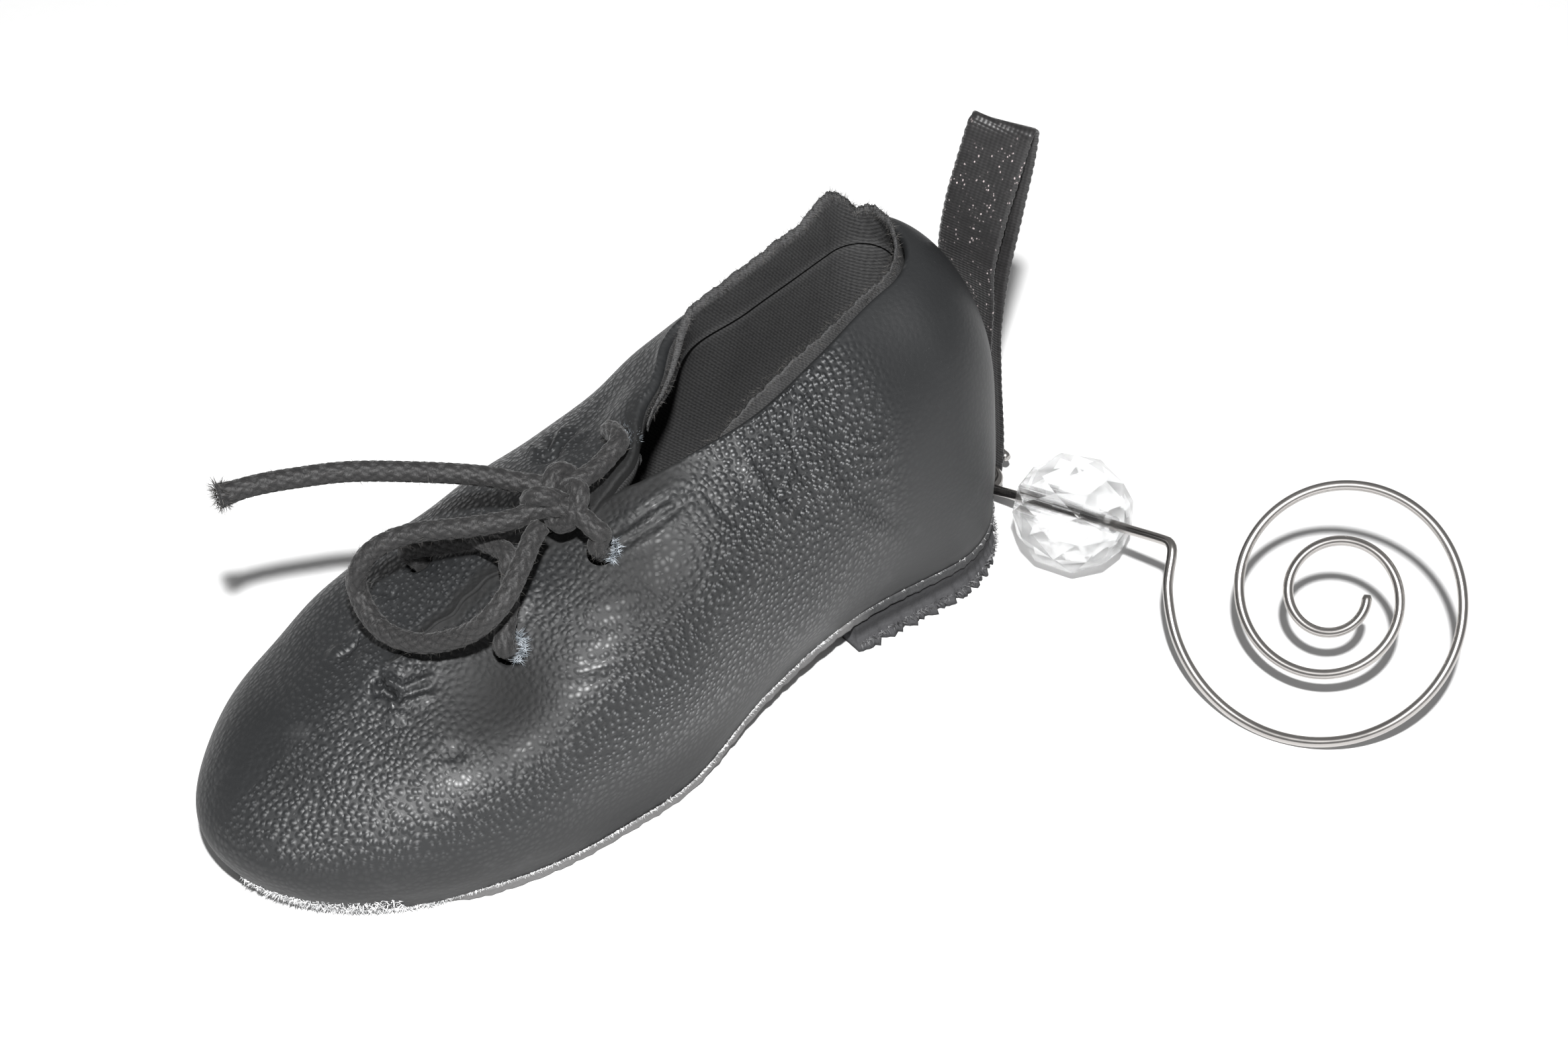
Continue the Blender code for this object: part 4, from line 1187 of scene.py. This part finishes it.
def end_caps(count, sides):
    """Faces that close the two ends of a run of rings."""
    return [tuple(range(sides - 1, -1, -1)), tuple((count - 1) * sides + k for k in range(sides))]


def tube_piece(name, line, sides, radius_of, material, field_of=None, closed=False):
    """A closed tube along a line. radius_of gives radii for the run along it and the turn round it."""
    steps = np.linalg.norm(np.diff(line, axis=0), axis=1)
    run = np.concatenate([[0], np.cumsum(steps)])
    run_grid, turn_grid = np.meshgrid(run, np.arange(sides) / sides, indexing="ij")
    grid = rings(line, radius_of(run_grid, turn_grid), sides, closed)
    u = np.append(run, run[-1] + steps[-1]) * MM
    v = np.arange(sides + 1) / sides * MM
    faces, corners = grid_faces(len(line), sides, closed, True, u, v)
    if not closed:
        faces += end_caps(len(line), sides)
        corners += [(0.0, 0.0)] * sides * 2
    fields = {"strand": field_of(run_grid, turn_grid)} if field_of else None
    return mesh_piece(name, grid.reshape(-1, 3), faces, [material], uv=corners, fields=fields)


def braid(run, turn):
    """Height of a round braid: two sets of strands that pass over and under each other."""
    right = turn * BRAID_STRANDS + run / BRAID_PITCH
    left = turn * BRAID_STRANDS - run / BRAID_PITCH
    right_over = np.mod(np.floor(right) + np.floor(left), 2) < 0.5
    right_round = 1 - (2 * np.mod(right, 1) - 1) ** 2
    left_round = 1 - (2 * np.mod(left, 1) - 1) ** 2
    over = np.where(right_over, right_round, left_round)
    under = np.where(right_over, left_round, right_round)
    return over * (0.6 + 0.4 * under)


def lace_radius(run, turn):
    """The cord's radius, with its braid."""
    return LACE_WIDTH / 2 * LACE_SLACK - BRAID_HEIGHT + BRAID_HEIGHT * braid(run, turn)


def tail_radius(run, turn):
    """The tail's width, with a flare at its cut end."""
    flare = held((run - (run.max() - END_FLARE_RUN)) / END_FLARE_RUN)
    return lace_radius(run, turn) * (1 + (END_FLARE - 1) * flare ** 2)


def knot_line():
    """The knot's wraps: the cord passes three times over and under itself."""
    t = np.linspace(0, 2 * np.pi, KNOT_POINTS, endpoint=False)
    x = (np.sin(t) + 2 * np.sin(2 * t)) / 3
    y = (np.cos(t) - 2 * np.cos(2 * t)) / 3
    z = -np.sin(3 * t)
    half = (np.array(KNOT_SIZE) - LACE_WIDTH) / 2 * KNOT_FULLNESS
    return np.array(KNOT_MIDDLE) + np.stack([x, y, z], axis=1) * half


def make_laces():
    """Bow, tail, lower bar and knot, all of braided cord, and the lines of the first three."""
    routes = (
        [*hole_mouth("near_top")[::-1], *NEAR_STRAND_ROUTE[::-1], *BOW_KNOT_PASS, *LOOP_ROUTE, BOW_END],
        [*hole_mouth("far_top")[::-1], *FAR_STRAND_ROUTE[::-1], *TAIL_KNOT_PASS, *END_ROUTE],
        bar_route("far_low", "near_low"),
    )
    lines = [through(route, LACE_STEP) for route in routes]
    bow = tube_piece("lace_bow", lines[0], LACE_SIDES, lace_radius, CORD, braid)
    tail = tube_piece("lace_tail", lines[1], LACE_SIDES, tail_radius, CORD, braid)
    bar = tube_piece("lace_low_bar", lines[2], LACE_SIDES, lace_radius, CORD, braid)
    knot = tube_piece("lace_knot_wraps", knot_line(), LACE_SIDES, lace_radius, CORD, braid, closed=True)
    return bow, tail, bar, knot, lines


# Ribbon: middle line up the front strand, over the fold and down the back strand, with its turn in degrees
RIBBON_WIDTH = 6.35
RIBBON_THICK = 0.4
RIBBON_ROUTE = (
    (12.2, 0.0, 2.6, 0), (12.2, 0.0, 6.5, 0), (12.1, 0.0, 12.0, 0), (11.9, 0.0, 18.0, 0),
    (11.6, 0.0, 24.0, 6), (11.0, 0.0, 29.0, 18), (11.5, -0.5, 35.0, 28), (12.6, -1.1, 41.0, 30),
    (13.2, -1.3, 43.6, 30), (13.9, -1.2, 44.4, 30), (14.5, -0.9, 43.6, 30), (14.5, -0.5, 40.0, 30),
    (13.7, -0.2, 34.0, 28), (12.9, 0.0, 27.0, 16), (12.9, 0.0, 21.0, 4), (13.5, 0.0, 14.0, 0),
    (14.2, 0.0, 7.0, 0), (14.2, 0.0, 2.6, 0), (13.8, 0.0, 1.3, 0), (13.2, 0.0, 0.85, 0), (12.6, 0.0, 1.3, 0),
)
RIBBON_STEP = 0.22
RIBBON_ACROSS = 18
PICOT_PITCH = 0.95
PICOT_RISE = 0.10
SELVEDGE_THIN = 0.25
SELVEDGE_POWER = 12
RIBBON_SAG = 0.018
SAG_RATE = 0.55
SAG_SKEW = 2.0
FRONT_START = 4.0
FRONT_START_FADE = 6.0
FRONT_END = 43.0
FRONT_END_FADE = 4.0


def ribbon_lines():
    """The ribbon's middle line and its turn, both read off at an even step."""
    route = np.array(RIBBON_ROUTE, float)
    turns = route[:, 3]
    places = through(route[:, :3], RIBBON_STEP, closed=True)
    nearest = np.array([np.argmin(np.linalg.norm(places - point, axis=1)) for point in route[:, :3]])
    steps = np.arange(len(places))
    nearest[0] = 0
    angle = np.interp(steps, np.append(nearest, len(places)), np.append(turns, turns[0]))
    return places, np.radians(angle)


def satin_loop():
    """The ribbon itself, with rounded edges that bump out in small picots."""
    line, angle = ribbon_lines()
    along = unit(np.roll(line, -1, axis=0) - np.roll(line, 1, axis=0))
    across = np.stack([np.sin(angle), -np.cos(angle), np.zeros_like(angle)], axis=1)
    across = unit(across - along * np.sum(across * along, axis=1, keepdims=True))
    normal = np.cross(along, across)
    run = np.arange(len(line)) * RIBBON_STEP
    picot = PICOT_RISE * np.abs(np.sin(np.pi * run / PICOT_PITCH)) - PICOT_RISE / 2
    half = RIBBON_WIDTH / 2 + picot
    thin = RIBBON_THICK / 2
    over = np.arange(RIBBON_ACROSS + 1) * 2 / RIBBON_ACROSS
    ring = [(1 - k, 1) for k in over] + [(k - 1, -1) for k in over]
    columns = []
    for w, h in ring:
        edge = SELVEDGE_THIN + (1 - SELVEDGE_THIN) * math.sqrt(max(0.0, 1 - abs(w) ** SELVEDGE_POWER))
        sag = RIBBON_SAG * np.sin(run * SAG_RATE + SAG_SKEW * w)
        columns.append(line + across * (half * w)[:, None] + normal * (thin * h * edge + sag)[:, None])
    grid = np.stack(columns, axis=1)
    count, around = grid.shape[:2]
    u = np.arange(count + 1) * RIBBON_STEP * MM
    v = np.array([w * RIBBON_WIDTH / 2 for w, _ in ring] + [RIBBON_WIDTH / 2]) * MM
    faces, corners = grid_faces(count, around, True, True, u, v)
    front = held((run - FRONT_START) / FRONT_START_FADE) * held((FRONT_END - run) / FRONT_END_FADE)
    fields = {"front": np.repeat(front, around)}
    return mesh_piece("satin_ribbon", grid.reshape(-1, 3), faces, [SATIN], uv=corners, fields=fields)


# Wire hanger: hook round the ribbon, straight shaft through the bead, bend, and spiral
WIRE_WIDTH = 1.0
WIRE_SIDES = 20
WIRE_STEP = 0.35
HOOK_ROUTE = (
    (15.3, -2.8, 2.9), (15.4, 0.0, 2.9), (15.35, 2.6, 2.9), (14.95, 4.1, 2.9), (13.95, 4.4, 2.9),
    (13.3, 3.4, 2.9), (13.2, 0.5, 2.9), (13.2, -2.2, 2.85), (12.95, -4.0, 2.75), (12.2, -4.8, 2.75),
)
HOOK_LEAD = 3.0
SHAFT_START = np.array([11.3, -5.3, 2.8])
SHAFT_END = np.array([14.5, -27.5, 10.0])
SPIRAL_MIDDLE = np.array([21.5, -42.0, 10.0])
SPIRAL_LOW = np.array([13.9, -50.8, 0.75])
SPIRAL_TURNS = 2.55
SPIRAL_END_RADIUS = 3.2
SPIRAL_FALL = 1.55
SPIRAL_POINTS = 56
BEND_RADIUS = 1.1
WIRE_CUT = 0.72
WIRE_CUT_RUN = 0.35


def spiral_points():
    """Flat spiral from the bend inwards, its first turn dipping to the floor."""
    start = SHAFT_END - SPIRAL_MIDDLE
    first = unit(start)
    low = SPIRAL_LOW - SPIRAL_MIDDLE
    second = unit(low - first * np.dot(low, first))
    share = np.linspace(0, 1, SPIRAL_POINTS)[:, None]
    radius = SPIRAL_END_RADIUS + (np.linalg.norm(start) - SPIRAL_END_RADIUS) * (1 - share) ** SPIRAL_FALL
    angle = 2 * np.pi * SPIRAL_TURNS * share
    return SPIRAL_MIDDLE + radius * (np.cos(angle) * first + np.sin(angle) * second)


def make_wire():
    """The drawn wire: hook, shaft, bend and spiral, with cut ends."""
    shaft = unit(SHAFT_END - SHAFT_START)
    spiral = spiral_points()
    bend_in = SHAFT_END - BEND_RADIUS * shaft
    bend_out = SHAFT_END + BEND_RADIUS * unit(spiral[1] - SHAFT_END)
    bend = 0.25 * bend_in + 0.5 * SHAFT_END + 0.25 * bend_out
    lead = SHAFT_START + HOOK_LEAD * shaft
    stretch = [lead + (bend_in - lead) * share for share in (0.25, 0.5, 0.75)]
    route = [*HOOK_ROUTE, SHAFT_START, lead, *stretch, bend_in, bend, bend_out, *spiral[1:]]
    line = through(route, WIRE_STEP)

    def radius(run, turn):
        ends = np.minimum(run, run.max() - run)
        return WIRE_WIDTH / 2 * (WIRE_CUT + (1 - WIRE_CUT) * held(ends / WIRE_CUT_RUN))

    return tube_piece("hanger_spiral_wire", line, WIRE_SIDES, radius, STEEL)


# Loose fibres: how many on a square millimetre, length, width, straying, and the seed of their places
FIBRES = {
    "hole_fray": (70.0, 0.75, 0.030, 1.8, 3),
    "lace_fluff": (4.5, 0.70, 0.015, 1.3, 5),
    "collar_fuzz": (16.0, 0.55, 0.022, 1.2, 19),
    "lace_tip_brush": (34.0, 1.00, 0.035, 0.7, 7),
    "sole_nap_toe": (120.0, 0.48, 0.045, 1.1, 11),
    "sole_nap_side": (110.0, 0.34, 0.036, 1.1, 11),
    "sole_nap_heel": (40.0, 0.28, 0.030, 1.1, 11),
    "toe_tear": (15.0, 0.55, 0.050, 1.6, 17),
    "heel_edge_rag": (24.0, 0.60, 0.050, 0.9, 13),
}
FIBRE_SHORTEST = 0.35
FIBRE_LONGEST = 1.25
FIBRE_INPUTS = {
    "Bed": "NodeSocketGeometry",
    "Density": "NodeSocketFloat",
    "Length": "NodeSocketFloat",
    "Width": "NodeSocketFloat",
    "Spread": "NodeSocketFloat",
    "Seed": "NodeSocketInt",
    "Finish": "NodeSocketMaterial",
}

# Torn part of each hole's border: the way it lies from the middle, half its angle, and the bed's thickness
HOLE_FRAYS = {
    "far_low": ((0.3, 0.9, 0.0), 45, 0.22),
    "near_low": ((0.8, -0.6, 0.0), 62, 0.20),
    "far_top": ((0.8, -0.6, 0.0), 80, 0.42),
    "near_top": ((0.7, -0.7, 0.0), 40, 0.20),
}
FRAY_OUT = 0.1
FRAY_POINTS = 24
FRAY_SIDES = 6

# Beds of fluff on the laces, fuzz on the lining's crest and the brush at the lace's cut end
FLUFF_RADIUS = 0.95
FLUFF_SIDES = 8
FUZZ_RADIUS = 0.36
FUZZ_SIDES = 6
BRUSH_RADIUS = 1.05
BRUSH_SIDES = 12
BRUSH_BACK = 0.5
BRUSH_AHEAD = 0.1

# Nap of the sole's cut edge: places along, and height of its bed
SOLE_NAPS = {
    "toe": (0.86, 0.9995, 0.34),
    "side": (0.30, 0.86, 0.16),
    "heel": (0.02, 0.30, 0.08),
}
NAP_OUT = 0.08
NAP_POINTS = 140

# Torn leather round the toe: its ends along, places up, and how far its bed stands off
TOE_TEAR = (0.885, 0.998)
TOE_TEAR_UPS = (0.0, 0.02, 0.04, 0.06)
TOE_TEAR_OFF = 0.03
TOE_TEAR_POINTS = 60

# Torn lower edge of the heel block
RAG_TIP = 0.002
RAG_FOOT = 0.68
RAG_BAND = 0.6
RAG_OUT = 0.35
RAG_POINTS = 90


def fibre_tree():
    """Geometry Nodes tree that stands loose fibres on a bed of faces."""
    tree = bpy.data.node_groups.new("loose_fibres", "GeometryNodeTree")
    for name, kind in FIBRE_INPUTS.items():
        tree.interface.new_socket(name=name, in_out="INPUT", socket_type=kind)
    tree.interface.new_socket(name="Fibres", in_out="OUTPUT", socket_type="NodeSocketGeometry")
    given = tree.nodes.new("NodeGroupInput").outputs
    result = tree.nodes.new("NodeGroupOutput")
    scatter = add_node(tree, "GeometryNodeDistributePointsOnFaces", {"distribute_method": "RANDOM"},
                       {"Mesh": given["Bed"], "Density": given["Density"], "Seed": given["Seed"]})
    stray = add_node(tree, "FunctionNodeRandomValue", {"data_type": "FLOAT_VECTOR"},
                     {"Min": (-1.0, -1.0, -1.0), "Max": (1.0, 1.0, 1.0), "Seed": given["Seed"]})
    lean = add_node(tree, "ShaderNodeVectorMath", {"operation": "SCALE"},
                    {0: stray.outputs["Value"], "Scale": given["Spread"]})
    way = add_node(tree, "ShaderNodeVectorMath", {"operation": "ADD"},
                   {0: scatter.outputs["Normal"], 1: lean.outputs[0]})
    turn = add_node(tree, "FunctionNodeAlignRotationToVector", {"axis": "Z"}, {"Vector": way.outputs[0]})
    fibre = add_node(tree, "GeometryNodeMeshCone", {"fill_type": "NONE"},
                     {"Vertices": 3, "Radius Top": 0.0, "Radius Bottom": given["Width"],
                      "Depth": given["Length"]})
    size = add_node(tree, "FunctionNodeRandomValue", {"data_type": "FLOAT"},
                    {2: FIBRE_SHORTEST, 3: FIBRE_LONGEST, "Seed": given["Seed"]})
    stand = add_node(tree, "GeometryNodeInstanceOnPoints", {},
                     {"Points": scatter.outputs["Points"], "Instance": fibre.outputs["Mesh"],
                      "Rotation": turn.outputs["Rotation"], "Scale": size.outputs[1]})
    real = add_node(tree, "GeometryNodeRealizeInstances", {}, {"Geometry": stand.outputs["Instances"]})
    coat = add_node(tree, "GeometryNodeSetMaterial", {},
                    {"Geometry": real.outputs["Geometry"], "Material": given["Finish"]})
    tree.links.new(coat.outputs["Geometry"], result.inputs["Fibres"])
    return tree


FIBRE_TREE = fibre_tree()


def fibres(name, beds, material):
    """Loose fibres on bed meshes, as one plain mesh."""
    density, length, width, spread, seed = FIBRES[name]
    points, faces = [], []
    for bed_points, bed_faces in beds:
        start = len(points)
        points += [tuple(p) for p in bed_points]
        faces += [tuple(start + i for i in face) for face in bed_faces]
    bed = mesh_piece(name + "_bed", points, faces, [])
    modifier = bed.modifiers.new("fibres", "NODES")
    modifier.node_group = FIBRE_TREE
    values = {"Density": density / MM ** 2, "Length": length * MM, "Width": width * MM, "Spread": spread,
              "Seed": seed, "Finish": material}
    for item in FIBRE_TREE.interface.items_tree:
        if item.item_type == "SOCKET" and item.in_out == "INPUT" and item.name in values:
            modifier[item.identifier] = values[item.name]
    view = bpy.context.evaluated_depsgraph_get()
    mesh = bpy.data.meshes.new_from_object(bed.evaluated_get(view))
    mesh.name = name
    piece = placed(name, mesh)
    bpy.data.objects.remove(bed, do_unlink=True)
    return piece


def tube_bed(line, radius, sides):
    """A bare tube that fibres stand on."""
    faces, _ = grid_faces(len(line), sides, False, True)
    return rings(line, radius, sides).reshape(-1, 3), faces + end_caps(len(line), sides)


def outline_beds(stations, grow, foot, height):
    """Narrow upright strips that fibres stand on, along both sides of the sole line."""
    beds = []
    for side in (NEAR, FAR):
        line = sole_outline(stations, side, grow)
        line[:, 2] = foot
        grid = np.stack([line, line + np.array([0, 0, height])], axis=1)
        if side == FAR:
            grid = grid[::-1]
        faces, _ = grid_faces(len(stations), 2, False, False)
        beds.append((grid.reshape(-1, 3), faces))
    return beds


def torn_border(name):
    """The torn part of a lace hole's border, a little above the leather."""
    middle, normal = hole_frame(name)
    way, half_angle, _ = HOLE_FRAYS[name]
    side = unit(np.array(way) - normal * np.dot(way, normal))
    other = np.cross(normal, side)
    t = np.radians(np.linspace(-half_angle, half_angle, FRAY_POINTS))
    arc = np.cos(t)[:, None] * side + np.sin(t)[:, None] * other
    return middle + (HOLE_RADIUS + FRAY_OUT) * arc + normal * FRAY_OUT


def toe_tear_bed():
    """The strip of leather just above the sole's edge round the near half of the toe."""
    first, last = (near_turn(along) for along in TOE_TEAR)
    turns = np.linspace(first, last, TOE_TEAR_POINTS)
    rows = [leather_base(turns, up) + TOE_TEAR_OFF * upper_normal(turns, up) for up in TOE_TEAR_UPS]
    faces, _ = grid_faces(len(rows), len(turns), False, False)
    return np.concatenate(rows), faces


def lace_brush(tail_line):
    """The brush of fibres at the tail's cut end."""
    tip = tail_line[-1]
    way = unit(tip - tail_line[-6])
    stub = np.array([tip - way * BRUSH_BACK, tip + way * BRUSH_AHEAD])
    return fibres("lace_tip_brush", [tube_bed(stub, BRUSH_RADIUS, BRUSH_SIDES)], DARK_FIBRE)


def sole_nap(part):
    """Pale nap along one part of the sole's cut edge."""
    first, last, height = SOLE_NAPS[part]
    stations = np.linspace(first, last, NAP_POINTS)
    foot = sole_height(stations) - (SEAT_GAP + TOE_HEM * soft_step((stations - TOE_FROM) / TOE_FADE))
    return fibres("sole_nap_" + part, outline_beds(stations, NAP_OUT, foot, height), PALE_FIBRE)


def make_fibres(lace_lines, twill_crest):
    """All loose fibres: torn holes, fluff of the laces, fuzz of the lining, nap, torn toe and heel edge."""
    hole_beds = [tube_bed(torn_border(name), HOLE_FRAYS[name][2], FRAY_SIDES) for name in HOLES]
    frays = fibres("hole_fray", hole_beds, TORN_FIBRE)
    lace_beds = [tube_bed(line[::4], FLUFF_RADIUS, FLUFF_SIDES) for line in lace_lines]
    fluff = fibres("lace_fluff", lace_beds, DARK_FIBRE)
    fuzz = fibres("collar_fuzz", [tube_bed(twill_crest[2:-2:2], FUZZ_RADIUS, FUZZ_SIDES)], DARK_FIBRE)
    brush = lace_brush(lace_lines[1])
    naps = [sole_nap(part) for part in SOLE_NAPS]
    naps.append(fibres("toe_tear", [toe_tear_bed()], PALE_FIBRE))
    block = spaced(RAG_TIP, heel_block_front(), RAG_POINTS)
    rag = fibres("heel_edge_rag", outline_beds(block, RAG_OUT, RAG_FOOT, RAG_BAND), HEEL_FIBRE)
    return frays, fluff, fuzz, brush, naps, rag


leather = make_leather()
twill, twill_crest = make_lining()
outsole, insole, heel = make_soles()
bow, tail, bar, knot, lace_lines = make_laces()
bow_line, tail_line, _ = lace_lines
ribbon = satin_loop()
wire = make_wire()
frays, fluff, fuzz, brush, naps, rag = make_fibres(lace_lines, twill_crest)

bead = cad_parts["crystal_bead"]
bead.data.materials.clear()
bead.data.materials.append(CRYSTAL)

# Each piece with the body it rides on, its slot, and the solids that it stands for
for piece, body, slot, nodes in (
    (leather, "shoe", "black_leather", ("upper",)),
    (twill, "shoe", "black_lining", ("collar_lining",)),
    (outsole, "shoe", "sole_suede", ("outsole",)),
    (insole, "shoe", "insole_board", ("insole",)),
    (heel, "shoe", "heel_suede", ("heel",)),
    (bow, "shoe", "black_cord", ("lace_strand_near", "lace_loop")),
    (tail, "shoe", "black_cord", ("lace_strand_far", "lace_end")),
    (bar, "shoe", "black_cord", ("lace_bar_low",)),
    (knot, "shoe", "black_cord", ("lace_knot",)),
    (ribbon, "shoe", "black_satin", ("ribbon_loop",)),
    (wire, "hanger", "bright_steel", ("hanger_wire",)),
    (frays, "shoe", "black_leather", ()),
    (fluff, "shoe", "black_cord", ()),
    (brush, "shoe", "black_cord", ()),
    (fuzz, "shoe", "black_lining", ()),
    (rag, "shoe", "heel_suede", ()),
    *((nap, "shoe", "sole_suede", ()) for nap in naps),
):
    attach(piece, body)
    if nodes:
        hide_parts(*nodes)


tuple(bow_line[0] * MM)
(bow_line * MM).tolist()
tuple(tail_line[0] * MM)
(tail_line * MM).tolist()

# Camera at the photograph's viewing angle
CAMERA_PLACE = Vector((-168.4, -201.2, 245.9)) * MM
CAMERA_TARGET = Vector((-15.3, -5.3, 14.0)) * MM
SENSOR_WIDTH = 36.0
LENS = 82.63
camera_data = bpy.data.cameras.new("camera")
camera_data.sensor_fit = "HORIZONTAL"
camera_data.sensor_width = SENSOR_WIDTH
camera_data.lens = LENS
camera_data.clip_start = 0.01
camera = placed("camera", camera_data)
camera.location = CAMERA_PLACE
camera.rotation_euler = (CAMERA_TARGET - CAMERA_PLACE).to_track_quat("-Z", "Y").to_euler()
bpy.context.scene.camera = camera

# One small flash beside the camera, and plain white light all round
FLASH_PLACE = Vector((-168.0, -209.0, 385.0)) * MM
FLASH_WIDTH = 0.022
FLASH_POWER = 4.4
ROOM_STRENGTH = 0.25
key_data = bpy.data.lights.new("flash", "AREA")
key_data.shape = "DISK"
key_data.size = FLASH_WIDTH
key_data.energy = FLASH_POWER
key = placed("flash", key_data)
key.location = FLASH_PLACE
key.rotation_euler = (CAMERA_TARGET - FLASH_PLACE).to_track_quat("-Z", "Y").to_euler()
world = bpy.data.worlds.new("studio")
world.use_nodes = True
room = world.node_tree.nodes["Background"]
room.inputs["Color"].default_value = (1.0, 1.0, 1.0, 1.0)
room.inputs["Strength"].default_value = ROOM_STRENGTH
bpy.context.scene.world = world
bpy.context.scene.view_settings.view_transform = "Standard"

# Paper floor
FLOOR_HALF = 600.0
floor_corners = [(x * FLOOR_HALF, y * FLOOR_HALF, 0) for x, y in ((-1, -1), (1, -1), (1, 1), (-1, 1))]
floor = mesh_piece("floor", floor_corners, [(0, 1, 2, 3)], [floor_finish()])
